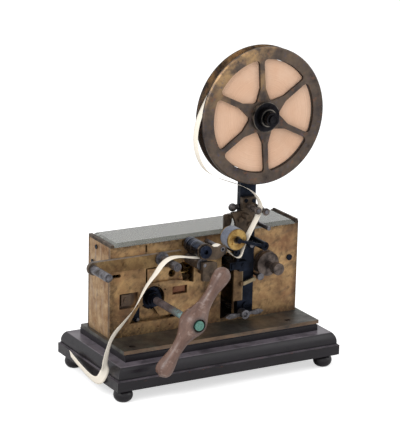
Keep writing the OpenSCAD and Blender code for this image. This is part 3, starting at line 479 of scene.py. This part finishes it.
def cast_bronze():
    """Cast bronze gone grey-brown, nearly black in places, rubbed back to brown where it is handled."""
    return old_metal("cast_bronze_darkened", settings().metal.bronze_colour, "#39322D",
                     blotch=14 * MM, rough=0.48, brush_size=0.7 * MM, metallic=0.8)


def base_bronze():
    """Bronze base plate: grey-brown under old wax, with a green-grey haze and a highlight painted along its
    front edge.
    """
    material = old_metal("rolled_bronze_waxed", "#57524D", "#3A3735", blotch=24 * MM, rough=0.42,
                         brush=(12, 1, 1), brush_size=0.6 * MM, metallic=0.7)
    tree, shader = surface(material)
    lay_over(tree, shader, "#626A60", blotches(tree, 18 * MM, 0.48, 0.72), 0.5)
    # painted highlight: a lighter brown line along the plate's front edge
    edge = edge_band(tree, "Y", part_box("base_plate")[0][1], 0.9 * MM)
    lay_over(tree, shader, "#8A705A", edge, blotches(tree, 9 * MM, 0.3, 0.6, (3, 1, 1)), 0.85)
    return material


def reel_bronze():
    """Bronze sheet of the reel: brown-grey, with a painted highlight in a few gold clouds, and painted shade
    on its sawn walls.
    """
    material = old_metal("sheet_bronze_patinated", "#6B5D51", "#453E3C", blotch=20 * MM, rough=0.42,
                         brush_size=0.6 * MM, metallic=0.8)
    tree, shader = surface(material)
    centre = middle("reel_front_flange")
    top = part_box("reel_front_flange")[1][2]
    rubbed = blotches(tree, 17 * MM, 0.42, 0.62)
    # painted highlight: the rubbed gold clouds stand for light on the upper left of the reel, where they show
    # most
    upper = ramp(tree, place_axis(tree, "Z"), centre.z - 10 * MM, top)
    leftward = ramp(tree, place_axis(tree, "X"), centre.x + 45 * MM, centre.x - 30 * MM)
    lay_over(tree, shader, "#C9A374", rubbed, upper, leftward, 0.95)
    lay_over(tree, shader, "#8A5F45", blotches(tree, 6 * MM, 0.56, 0.72, turn=0.3), 0.5)
    lay_over(tree, shader, "#4C4F66", blotches(tree, 5 * MM, 0.58, 0.7, turn=1.4), 0.5)
    lay_over(tree, shader, "#7A5F6E", blotches(tree, 8 * MM, 0.6, 0.75, turn=0.8), 0.35)
    # painted shade: the walls of the windows, which face neither front nor back, are darkened nearly to black
    lay_over(tree, shader, "#221D1B", ramp(tree, facing(tree, "Y"), 0.35, 0.15), 0.8)
    return material


def blued_steel():
    """Blued steel gone nearly black, with a cold sheen."""
    return old_metal("blued_steel", settings().metal.steel_colour, "#15171C", blotch=16 * MM, rough=0.38,
                     brush=(1, 1, 6))


def hub_steel():
    """Blackened steel of the reel's hub, with a painted grey highlight on each turned step."""
    material = old_metal("blackened_steel_turned", "#2C2B2E", "#17161A", blotch=9 * MM, rough=0.36)
    tree, shader = surface(material)
    centre = middle("reel_hub")
    worn = blotches(tree, 7 * MM, 0.35, 0.6)
    # painted highlight: a grey ring at the edge of each turned step, broken up in patches
    for outer in HUB_STEPS:
        within = ring_band(tree, centre, outer * MM, (outer + 0.4) * MM)
        without = beyond_ring(tree, centre, (outer - 1.2) * MM, (outer - 0.6) * MM)
        lay_over(tree, shader, "#948D84", within, without, worn, 0.8)
    return material


def blued_roller():
    """Blued steel rollers: blue-black, with pale rings where the tape has polished them."""
    material = old_metal("blued_steel_polished", "#2C3344", "#16181E", blotch=8 * MM, rough=0.3)
    tree, shader = surface(material)
    rings = turns(tree, place_axis(tree, "Y"), 2.6 * MM)
    lay_over(tree, shader, "#7C8192", ramp(tree, rings, 0.58, 0.66), 0.6)
    return material


def grey_steel():
    """Bright steel dulled to grey, with brown patches."""
    return old_metal("mild_steel_dulled", "#85848A", "#4A4543", blotch=7 * MM, rough=0.4,
                     brush=(1, 8, 1), brush_size=0.4 * MM)


def brown_steel():
    """Steel under a brown-grey skin, darker in patches."""
    return old_metal("mild_steel_browned", "#7D7069", "#35302F", blotch=9 * MM, rough=0.46,
                     brush_size=0.4 * MM, metallic=0.85)


def tarnished_arbor():
    """Steel arbor: brown-violet near the case, with a green-blue bloom toward the handle."""
    material = old_metal("steel_green_bloom", "#83777A", "#4E4542", blotch=8 * MM, rough=0.5,
                         brush=(1, 8, 1), metallic=0.5)
    tree, shader = surface(material)
    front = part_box("winding_arbor")[0][1]
    toward = edge_band(tree, "Y", front + 26 * MM, 34 * MM)
    tip = edge_band(tree, "Y", front + 3 * MM, 3 * MM)
    lay_over(tree, shader, "#8FB9B8", toward, blotches(tree, 3.2 * MM, 0.36, 0.56), 0.9)
    lay_over(tree, shader, "#5C8C7E", tip, 0.9)
    lay_over(tree, shader, "#2E4A42", tip, blotches(tree, 1.6 * MM, 0.5, 0.66), 0.8)
    return material


def dark_iron():
    """Soft iron, black-brown and matt."""
    return old_metal("soft_iron", "#3A3A3D", "#232120", blotch=12 * MM, rough=0.6)


def polished_wood(name, colour, deep, bright, rubbed, grain_way, turn, coat, rough, wear_low):
    """Wood under polish: pores drawn out along the grain, darker bands, and rubbed pale patches."""
    material, tree, shader = blank_material(name)
    band = blotches(tree, 3.2 * MM, 0.3, 0.72, grain_way, 6.0, turn)
    # pores are drawn 0.7 mm across, coarser than beech or pear has them, so that they show
    pore = blotches(tree, 0.7 * MM, 0.5, 0.72, grain_way, 3.0, turn)
    cloud = blotches(tree, 22 * MM, 0.4, 0.7, turn=turn)
    rub = blotches(tree, 7 * MM, wear_low, wear_low + 0.14, (1.6, 1, 1), 7.0, turn)
    look = tinted(tree, colour, deep, band)
    look = tinted(tree, look, bright, cloud, 0.35)
    look = tinted(tree, look, deep, pore, 0.6)
    look = tinted(tree, look, rubbed, rub, 0.5)
    tree.links.new(look, shader.inputs["Base Color"])
    uneven_gloss(tree, shader, cloud, rough - 0.08, rough + 0.12)
    shader.inputs["IOR"].default_value = 1.5
    shader.inputs["Coat Weight"].default_value = coat
    shader.inputs["Coat Roughness"].default_value = 0.22
    relief(tree, shader, band, 0.08 * MM)
    return material


def plinth_wood():
    """Ebonised beech under french polish: near black with a violet cast, rubbed brown on its arrises, with a
    grey highlight painted along its upper arrises.
    """
    material = polished_wood("ebonised_beech_polished", settings().wood.plinth_colour, "#0F0C10",
                             "#262027", "#4A3935", grain_way=(16, 1, 1), turn=0.0, coat=0.08,
                             rough=0.36, wear_low=0.63)
    tree, shader = surface(material)
    shader.inputs["Specular IOR Level"].default_value = 0.34
    # painted highlight: a pale grey line along each upper arris, broken up in patches
    for edge, reach, share in PLINTH_ARRIS_HIGHLIGHTS:
        below = edge_band(tree, "Z", edge * MM, -reach * MM)
        above = edge_band(tree, "Z", edge * MM, reach * MM)
        worn = blotches(tree, 12 * MM, 0.25, 0.55, (2, 2, 1))
        lay_over(tree, shader, "#7C747C", below, above, worn, share)
    front = edge_band(tree, "Y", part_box("plinth")[0][1], 2 * MM)
    slab = edge_band(tree, "Z", SLAB_TOP * MM, -5 * MM)
    lay_over(tree, shader, "#7A3F2E", front, slab, blotches(tree, 4 * MM, 0.6, 0.66, (2, 1, 0.7)), 0.85)
    return material


def handle_wood():
    """Turned pear wood, red-brown with a greyed skin, polish worn in streaks and painted shade in the recess
    round the arbor.
    """
    material = polished_wood("pear_wood_turned", settings().wood.handle_colour, "#4C332A", "#9A7F72",
                             "#B9A59A", grain_way=(1, 1, 9), turn=-math.radians(90 - HANDLE_SLOPE),
                             coat=0.2, rough=0.42, wear_low=0.56)
    tree, shader = surface(material)
    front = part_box("winding_handle")[0][1]
    # painted shade: darker in the recess round the arbor, near the handle's front
    grime_and_shade = ring_band(tree, in_frame(*WINDING_ARBOR), 6.4 * MM, 10.5 * MM)
    lay_over(tree, shader, "#2A1F1D", grime_and_shade, edge_band(tree, "Y", front + 3 * MM, 6 * MM), 0.9)
    return material


def plate_glass():
    """Old plate glass: clear but greyed, under a film of dust that dulls it in clouds."""
    material, tree, shader = blank_material("plate_glass_bevelled")
    uneven_gloss(tree, shader, blotches(tree, 40 * MM, 0.3, 0.8), 0.05, 0.2)
    shader.inputs["Base Color"].default_value = linear("#B7B8B1")
    shader.inputs["IOR"].default_value = 1.5
    shader.inputs["Transmission Weight"].default_value = 0.72
    return material


def pressed_felt():
    """Pressed wool felt soaked and dried: matt blue-grey with dark ink patches and loose fibres."""
    material, tree, shader = blank_material("pressed_wool_felt")
    ink = blotches(tree, 6 * MM, 0.45, 0.7)
    # fibres are drawn 0.45 mm apart, coarser than wool, so that they show
    fibre = blotches(tree, 0.45 * MM, 0.3, 0.7, (1, 5, 1), 4.0)
    colour = tinted(tree, "#5F6576", "#343A48", ink)
    colour = tinted(tree, colour, "#8D93A0", fibre, 0.4)
    tree.links.new(colour, shader.inputs["Base Color"])
    shader.inputs["Roughness"].default_value = 0.95
    shader.inputs["Sheen Weight"].default_value = 0.4
    relief(tree, shader, fibre, 0.25 * MM)
    return material


def tape_paper():
    """Rag paper tape: cream, matt and faintly mottled with age."""
    material, tree, shader = blank_material("rag_paper_tape")
    # fibres are drawn 1.2 mm across, coarser than rag pulp, so that they show
    fibre = blotches(tree, 1.2 * MM, 0.35, 0.75)
    age = blotches(tree, 25 * MM, 0.45, 0.75)
    colour = tinted(tree, settings().paper.tape_colour, "#EBDCC4", age, 0.5)
    colour = tinted(tree, colour, "#FFFBF3", fibre, 0.3)
    tree.links.new(colour, shader.inputs["Base Color"])
    shader.inputs["Roughness"].default_value = 0.85
    relief(tree, shader, fibre, 0.02 * MM)
    return material


def roll_paper():
    """Cut edges of wound tape: salmon from age, in fine rings with darker turns."""
    material, tree, shader = blank_material("wound_paper_edges")
    # turns are drawn 0.6 mm apart, coarser than paper, so that they show
    rings = turns(tree, axis_distance(tree, middle("paper_roll")), 0.6 * MM)
    turn = add_node(tree, "ShaderNodeMapRange", {
        "Value": rings, "From Min": 0.35, "From Max": 0.7,
    }).outputs["Result"]
    age = blotches(tree, 30 * MM, 0.4, 0.7)
    colour = tinted(tree, settings().paper.roll_colour, "#CC9C7B", turn, 0.4)
    colour = tinted(tree, colour, "#EFCFB6", age, 0.5)
    tree.links.new(colour, shader.inputs["Base Color"])
    shader.inputs["Roughness"].default_value = 0.9
    relief(tree, shader, turn, 0.08 * MM)
    return material


def wrapped_wire():
    """Silk-covered wire wound in layers: dark green-brown, matt, ribbed round the bobbin."""
    material, tree, shader = blank_material("silk_covered_wire")
    rib = blotches(tree, 0.5 * MM, 0.3, 0.7, (8, 8, 1), 1.0)
    tree.links.new(tinted(tree, "#4C5A45", "#2B3328", rib), shader.inputs["Base Color"])
    shader.inputs["Roughness"].default_value = 0.75
    relief(tree, shader, rib, 0.2 * MM)
    return material


# ------------------------------------------------------------------ meshes


def finish(material, arris, *names):
    """Gives CAD nodes their material, and softens their sharp edges unless the arris width is 0."""
    for name in names:
        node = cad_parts[name]
        node.data.materials.clear()
        node.data.materials.append(material)
        if arris:
            soft = node.modifiers.new("arris", "BEVEL")
            soft.width = arris
            soft.segments = 2
            soft.limit_method = "ANGLE"
            soft.angle_limit = math.radians(40)
            soft.harden_normals = False


def on_scene(name, data):
    """A new object on the scene, with its data."""
    thing = bpy.data.objects.new(name, data)
    bpy.context.scene.collection.objects.link(thing)
    return thing


def mesh_of(name, shape, material):
    """A mesh with its material from a bmesh, which is freed."""
    data = bpy.data.meshes.new(name)
    shape.normal_update()
    shape.to_mesh(data)
    shape.free()
    data.materials.append(material)
    return data


def new_piece(name, shape, material, body, smooth=True):
    """A mesh object from a bmesh, with its material, riding on a body."""
    piece = on_scene(name, mesh_of(name, shape, material))
    for face in piece.data.polygons:
        face.use_smooth = smooth
    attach(piece, body)
    return piece


def revolved(profile, centre, segments):
    """A closed ring about an axis along Y: profile is a loop of (radius, y) points."""
    shape = bmesh.new()
    rings = []
    for step in range(segments):
        angle = 2 * math.pi * step / segments
        rings.append([
            shape.verts.new((centre.x + r * math.cos(angle), y, centre.z + r * math.sin(angle)))
            for r, y in profile
        ])
    count = len(profile)
    for a, b in zip(rings, rings[1:] + rings[:1]):
        for i in range(count):
            j = (i + 1) % count
            shape.faces.new((a[i], b[i], b[j], a[j]))
    bmesh.ops.recalc_face_normals(shape, faces=shape.faces)
    return shape


# the tape's loose run, in millimetres from the case's middle, its front plate and the table
TAPE_RUN = [
    (20, -25.5, 338.4), (6.4, -25.5, 331.4), (-5.4, -25.5, 322.6), (-14.8, -25.5, 311.6),
    (-21.4, -25.5, 300.6), (-27, -25.5, 289), (-30.4, -25.5, 277), (-31.4, -25.5, 265),
    (-30, -25.5, 252.5), (-25.4, -25.5, 240.4), (-17.6, -25.5, 229.8), (-5.2, -25.5, 221.6),
    (8, -25.5, 216), (22.4, -25.5, 210.4), (34.6, -25.5, 204.2), (42.6, -25.5, 197.8),
    (47.4, -25.5, 191), (49.6, -25.5, 185.6), (49.2, -25.5, 180.6), (48, -25.5, 176),
    (45.4, -25.5, 170.7), (41.8, -25.5, 164.4), (38.2, -25.5, 158), (34.5, -25.5, 151.5),
    (31.2, -25.5, 146), (28.6, -25.5, 139.6), (26.6, -25.5, 134), (24.8, -25.5, 131.6),
    (22.4, -25.5, 131.1), (19.8, -25.5, 131.6), (16.4, -25.5, 133.8), (12.6, -25.5, 137.6),
    (8.9, -25.5, 141.5), (5.4, -25.5, 144.8), (3, -25.5, 146.8), (-0.2, -25.5, 147.7),
    (-3.6, -25.5, 147.2), (-6.2, -25.5, 145.9), (-9.4, -25.5, 142.6), (-13, -25.5, 138.9),
    (-16.8, -25.5, 137), (-21.6, -25.5, 136.65), (-26.8, -25.5, 136.9), (-34.7, -25.5, 138.1),
    (-44.1, -25.5, 140), (-50.8, -25.5, 140.7), (-56.7, -25.5, 140.4), (-62.6, -25.5, 138.4),
    (-67.8, -25.5, 134.6), (-71.4, -25.5, 130.6), (-75.4, -25.5, 125.6), (-80.6, -25.5, 119.8),
    (-85.8, -25.5, 113.6), (-90, -25.6, 107.2), (-93.6, -25.8, 101), (-97.8, -26.2, 94.4),
    (-103.4, -27, 87.4), (-110, -28.2, 81.6), (-116.6, -29.6, 76.2), (-123.6, -31, 70.6),
    (-130.4, -32.8, 63.2), (-135.2, -34.6, 53.2), (-138.5, -35.6, 41.6), (-138.6, -34.6, 30.6),
    (-140.4, -30, 21.6), (-140.8, -22, 17), (-140.6, -10, 15.8), (-140.4, 6, 17.6),
    (-140.4, 24, 21.4), (-140.4, 42, 26),
]
# how many points before its end the tape begins to turn on edge, and over how many it does so
TURN_FROM = 21
TURN_OVER = 15

# points drawn on each stretch of the run, and how far the tape's width is cupped in millimetres
TAPE_STEPS = 6
TAPE_CUP = 0.12


def spline(points, steps):
    """Points on a smooth curve through all the points, steps to each stretch."""
    run = []
    last = len(points) - 1
    for i in range(last):
        before, a, b, after = points[max(i - 1, 0)], points[i], points[i + 1], points[min(i + 2, last)]
        for step in range(steps):
            t = step / steps
            run.append(0.5 * (2 * a + (b - before) * t + (2 * before - 5 * a + 4 * b - after) * t * t
                              + (3 * a - before - 3 * b + after) * t ** 3))
    run.append(points[-1])
    return run


def tape_strip(width, thickness):
    """The paper tape as a thin strip along its run, turned on edge over its tail."""
    run = spline([in_frame(*p) for p in TAPE_RUN], TAPE_STEPS)
    shape = bmesh.new()
    rows = []
    for i, place in enumerate(run):
        along = (run[min(i + 1, len(run) - 1)] - run[max(i - 1, 0)]).normalized()
        turned = (i / TAPE_STEPS - len(TAPE_RUN) + TURN_FROM) / TURN_OVER
        lean = math.radians(90) * min(max(turned, 0), 1)
        # on edge, the tape's upper side leans a little to the left
        across = Vector((-0.3 * math.sin(lean), -math.cos(lean), 0.95 * math.sin(lean)))
        across = (across - across.dot(along) * along).normalized()
        face = along.cross(across).normalized()
        row = []
        for side in (1, -1):
            for part in (-1, -0.5, 0, 0.5, 1):
                lift = face * (side * thickness / 2 + TAPE_CUP * MM * (0.5 - part * part))
                row.append(shape.verts.new(place + across * (side * part * width / 2) + lift))
        rows.append(row)
    count = len(rows[0])
    for a, b in zip(rows, rows[1:]):
        for k in range(count):
            n = (k + 1) % count
            shape.faces.new((a[k], b[k], b[n], a[n]))
    shape.faces.new(rows[0])
    shape.faces.new(reversed(rows[-1]))
    bmesh.ops.recalc_face_normals(shape, faces=shape.faces)
    return shape


def roll_profile(low, high, inner, outer, windings):
    """Loop of the wound roll's section: its sides step in and out by a hair from turn to turn."""
    inset = 0.25 * MM
    front, back = [], []
    for n in range(windings + 1):
        r = inner + (outer - inner) * n / windings
        step = 0.16 * MM * noise.noise(Vector((r / (1.3 * MM), 0, 0)))
        wave = 0.2 * MM * noise.noise(Vector((r / (9 * MM), 5, 0)))
        front.append((r, low + inset + step + wave))
        back.append((r, high - inset + step + wave))
    return front + back[::-1]


def felt_profile(low, high, inner, outer, rows):
    """Loop of the felt sleeve's section, its rim rounded."""
    rim = 0.9 * MM
    body = []
    for n in range(rows + 1):
        y = low + (high - low) * n / rows
        drop = max(0, rim - min(y - low, high - y))
        body.append((outer - (rim - math.sqrt(max(rim * rim - drop * drop, 0))), y))
    return [(inner, low)] + body + [(inner, high)]


def roughen(shape, centre, beyond, height):
    """Raises fibres, height millimetres high, on what lies beyond a radius from an axis along Y."""
    for vert in shape.verts:
        out = Vector((vert.co.x - centre.x, 0, vert.co.z - centre.z))
        if out.length > beyond:
            fuzz = noise.noise(vert.co / (0.9 * MM)) + 0.6 * noise.noise(vert.co / (3 * MM))
            vert.co += out.normalized() * height * MM * fuzz


# ------------------------------------------------------------------ operators


class REGISTER_OT_stage(bpy.types.Operator):
    """White table, soft light from the upper left and the camera"""

    bl_idname = "register.stage"
    bl_label = "Stage"

    def execute(self, context):
        stage = settings().stage
        self.table(stage)
        self.sky(stage)
        self.lamps()
        self.camera(stage)
        return {"FINISHED"}

    def table(self, stage):
        """Matt white paper under the instrument, wide enough to fill the view."""
        shape = bmesh.new()
        bmesh.ops.create_grid(shape, x_segments=1, y_segments=1, size=TABLE_REACH)
        material, tree, shader = blank_material("white_paper_sweep")
        shader.inputs["Base Color"].default_value = (*[TABLE_SHADE * c for c in stage.backdrop], 1)
        shader.inputs["Roughness"].default_value = 1.0
        shader.inputs["Specular IOR Level"].default_value = 0.0
        shader.inputs["Emission Color"].default_value = paint(stage.backdrop)
        # the table glows a little to the camera, so that it stays white outside the shadow
        seen = add_node(tree, "ShaderNodeLightPath").outputs["Is Camera Ray"]
        glow = joined(tree, "MULTIPLY", (seen, TABLE_GLOW))
        tree.links.new(glow, shader.inputs["Emission Strength"])
        on_scene("table", mesh_of("table", shape, material))

    def sky(self, stage):
        """Even light from all round, in the backdrop's colour."""
        world = bpy.data.worlds.new("studio_sky")
        bpy.context.scene.world = world
        world.use_nodes = True
        tree = world.node_tree
        background = tree.nodes["Background"]
        background.inputs["Color"].default_value = paint(stage.backdrop)
        # the camera, mirrors and glass see the full sky, and the rest gets the soft light
        ray = add_node(tree, "ShaderNodeLightPath").outputs
        mirror = joined(tree, "MAXIMUM", (ray["Is Glossy Ray"], ray["Is Transmission Ray"]))
        seen = joined(tree, "MAXIMUM", (ray["Is Camera Ray"], mirror))
        level = add_node(tree, "ShaderNodeMapRange", {
            "Value": seen, "To Min": stage.sky_level, "To Max": 1.0,
        })
        tree.links.new(level.outputs["Result"], background.inputs["Strength"])

    def lamps(self):
        """The window on the left and the weaker fill on the right."""
        for name, place, power, size in LAMPS:
            light = bpy.data.lights.new(name, "AREA")
            light.energy = power
            light.size = size
            lamp = on_scene(name, light)
            lamp.location = place
            lamp.rotation_euler = (LAMP_TARGET - lamp.location).to_track_quat("-Z", "Y").to_euler()

    def camera(self, stage):
        """The camera, in front of the instrument, to its left and above it."""
        yaw, pitch, roll = map(math.radians, (CAMERA_YAW, CAMERA_PITCH, CAMERA_ROLL))
        look = Vector((math.sin(yaw) * math.cos(pitch), math.cos(yaw) * math.cos(pitch), -math.sin(pitch)))
        level = Vector((math.cos(yaw), -math.sin(yaw), 0))
        above = level.cross(look)
        right = level * math.cos(roll) + above * math.sin(roll)
        up = above * math.cos(roll) - level * math.sin(roll)
        lens = bpy.data.cameras.new("camera")
        lens.sensor_fit = "HORIZONTAL"
        lens.sensor_width = SENSOR_WIDTH
        lens.lens = stage.focal_length
        lens.clip_end = 50
        camera = on_scene("camera", lens)
        place = in_frame(
            -stage.camera_distance * math.sin(stage.camera_side) / MM,
            -stage.camera_distance * math.cos(stage.camera_side) / MM,
            stage.camera_height / MM,
        )
        camera.matrix_world = Matrix.Translation(place) @ Matrix((right, up, -look)).transposed().to_4x4()
        bpy.context.scene.camera = camera
        bpy.context.scene.view_settings.view_transform = "Standard"


class REGISTER_OT_plinth(bpy.types.Operator):
    """Polished plinth and its turned feet"""

    bl_idname = "register.plinth"
    bl_label = "Plinth"

    def execute(self, context):
        wood = plinth_wood()
        finish(wood, 0.5 * MM, "plinth")
        finish(wood, 0, "bun_feet")
        return {"FINISHED"}


class REGISTER_OT_case(bpy.types.Operator):
    """Base plate, brass case, glass lid and terminals"""

    bl_idname = "register.case"
    bl_label = "Case"

    def execute(self, context):
        arris = settings().metal.arris
        finish(rolled_brass(), arris * 0.6, "front_plate", "back_plate")
        finish(inner_brass(), arris * 0.6, "inner_plates")
        finish(end_brass(), arris * 0.6, "end_plates")
        finish(base_bronze(), arris, "base_plate")
        finish(cast_bronze(), arris, "glass_end_bars")
        finish(turned_brass(), arris * 0.6, "binding_posts", "case_pillars")
        finish(blued_steel(), 0, "screws", "click_spring", "click")
        finish(plate_glass(), 0, "glass_top")
        return {"FINISHED"}


class REGISTER_OT_reel(bpy.types.Operator):
    """Reel post, reel, hub and nut"""

    bl_idname = "register.reel"
    bl_label = "Reel"

    def execute(self, context):
        arris = settings().metal.arris
        finish(reel_bronze(), arris * 0.7, "reel_front_flange", "reel_rear_flange")
        finish(blued_steel(), arris, "reel_post")
        finish(hub_steel(), arris, "reel_spindle", "reel_hub", "reel_nut")
        return {"FINISHED"}


class REGISTER_OT_paper(bpy.types.Operator):
    """Paper tape along its path, and the wound roll"""

    bl_idname = "register.paper"
    bl_label = "Paper"

    def execute(self, context):
        paper = settings().paper
        strip = tape_strip(paper.tape_width, paper.tape_thickness)
        tape = new_piece("paper_tape_strip", strip, tape_paper(), "case")
        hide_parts("paper_tape")
        low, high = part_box("paper_roll")
        # the innermost turn sinks a little into the hub, so that no gap shows
        inner = radius("reel_hub") - 0.2 * MM
        profile = roll_profile(low[1], high[1], inner, radius("paper_roll"), paper.windings)
        wound = revolved(profile, middle("paper_roll"), segments=128)
        roll = new_piece("wound_paper_roll", wound, roll_paper(), "reel", smooth=False)
        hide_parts("paper_roll")
        return {"FINISHED"}


class REGISTER_OT_inking(bpy.types.Operator):
    """Felt ink roller, its brass cheeks and its arm, and the printing wheel"""

    bl_idname = "register.inking"
    bl_label = "Inking"

    def execute(self, context):
        low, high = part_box("ink_roller_felt")
        centre = middle("ink_roller_felt")
        outer = radius("ink_roller_felt")
        profile = felt_profile(low[1], high[1], FELT_BORE * MM, outer - 0.15 * MM, rows=44)
        sleeve = revolved(profile, centre, segments=120)
        roughen(sleeve, centre, outer * 0.8, height=0.1)
        felt = new_piece("felt_sleeve", sleeve, pressed_felt(), "ink_roller")
        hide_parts("ink_roller_felt")
        finish(cheek_brass(), 0.2 * MM, "ink_roller_cheeks")
        steel = blued_steel()
        finish(steel, 0.25 * MM, "ink_arm")
        finish(steel, 0, "printing_wheel")
        return {"FINISHED"}


class REGISTER_OT_tape_path(bpy.types.Operator):
    """Rollers, guides, brackets and the feed pair"""

    bl_idname = "register.tape_path"
    bl_label = "Tape path"

    def execute(self, context):
        arris = settings().metal.arris
        bronze = cast_bronze()
        steel = blued_steel()
        grey = grey_steel()
        finish(bronze, arris, "roller_bearing_cock", "inlet_block", "guide_bracket", "bracket_leg",
               "pressure_arm")
        finish(guide_brass(), arris, "guide_arm")
        finish(grey, 0.25 * MM, "left_guide_roller", "middle_guide_roller", "studs_and_pins",
               "lower_feed_roller")
        finish(blued_roller(), 0.3 * MM, "upper_feed_roller")
        finish(steel, 0.3 * MM, "print_guide_roller")
        finish(brown_steel(), 0.4 * MM, "left_inlet_roller", "right_inlet_roller")
        return {"FINISHED"}


class REGISTER_OT_controls(bpy.types.Operator):
    """Winding handle, writing lever, tension drum and the small controls"""

    bl_idname = "register.controls"
    bl_label = "Controls"

    def execute(self, context):
        arris = settings().metal.arris
        grey = grey_steel()
        steel = blued_steel()
        finish(handle_wood(), 0.8 * MM, "winding_handle")
        finish(tarnished_arbor(), 0.3 * MM, "winding_arbor")
        finish(steel, 0.2 * MM, "ratchet_wheel")
        finish(grey, 0.3 * MM, "limit_screw", "clamp_screw", "stop_lever")
        finish(brown_steel(), 0.3 * MM, "tension_drum")
        finish(steel, arris, "writing_lever")
        finish(dark_iron(), arris, "armature")
        finish(upright_brass(), arris, "lever_bracket")
        return {"FINISHED"}


class REGISTER_OT_movement(bpy.types.Operator):
    """Going train, barrel, governor and electromagnet inside the case"""

    bl_idname = "register.movement"
    bl_label = "Movement"

    def execute(self, context):
        finish(turned_brass(), 0, "spring_barrel", "feed_wheel", "second_wheel", "idler_wheel", "governor",
               "fly")
        finish(grey_steel(), 0, "lever_spring", "mainspring")
        finish(dark_iron(), 0.3 * MM, "magnet_frame")
        finish(wrapped_wire(), 0, "magnet_coils")
        return {"FINISHED"}


PIECES = (
    REGISTER_OT_stage, REGISTER_OT_plinth, REGISTER_OT_case, REGISTER_OT_reel, REGISTER_OT_paper,
    REGISTER_OT_inking, REGISTER_OT_tape_path, REGISTER_OT_controls, REGISTER_OT_movement,
)


class REGISTER_PT_panel(bpy.types.Panel):
    """Lists the register's pieces and the settings a user would change"""

    bl_idname = "REGISTER_PT_panel"
    bl_label = "Morse tape register"
    bl_space_type = "VIEW_3D"
    bl_region_type = "UI"
    bl_category = "Register"

    def draw(self, context):
        layout = self.layout
        for group in ("stage", "paper", "metal", "wood"):
            box = layout.box()
            box.label(text=group.capitalize())
            values = getattr(settings(), group)
            for name in values.bl_rna.properties.keys():
                if name not in ("rna_type", "name"):
                    box.prop(values, name)
        for piece in PIECES:
            layout.operator(piece.bl_idname)


CLASSES = (
    StageSettings, PaperSettings, MetalSettings, WoodSettings, RegisterSettings,
    *PIECES, REGISTER_PT_panel,
)


def register():
    for kind in CLASSES:
        bpy.utils.register_class(kind)
    bpy.types.Scene.register_settings = PointerProperty(type=RegisterSettings)


def unregister():
    del bpy.types.Scene.register_settings
    for kind in reversed(CLASSES):
        bpy.utils.unregister_class(kind)


def main():
    """Dresses the frame."""
    register()
    for piece in PIECES:
        category, name = piece.bl_idname.split(".")
        getattr(getattr(bpy.ops, category), name)()


if __name__ == "__main__":
    main()
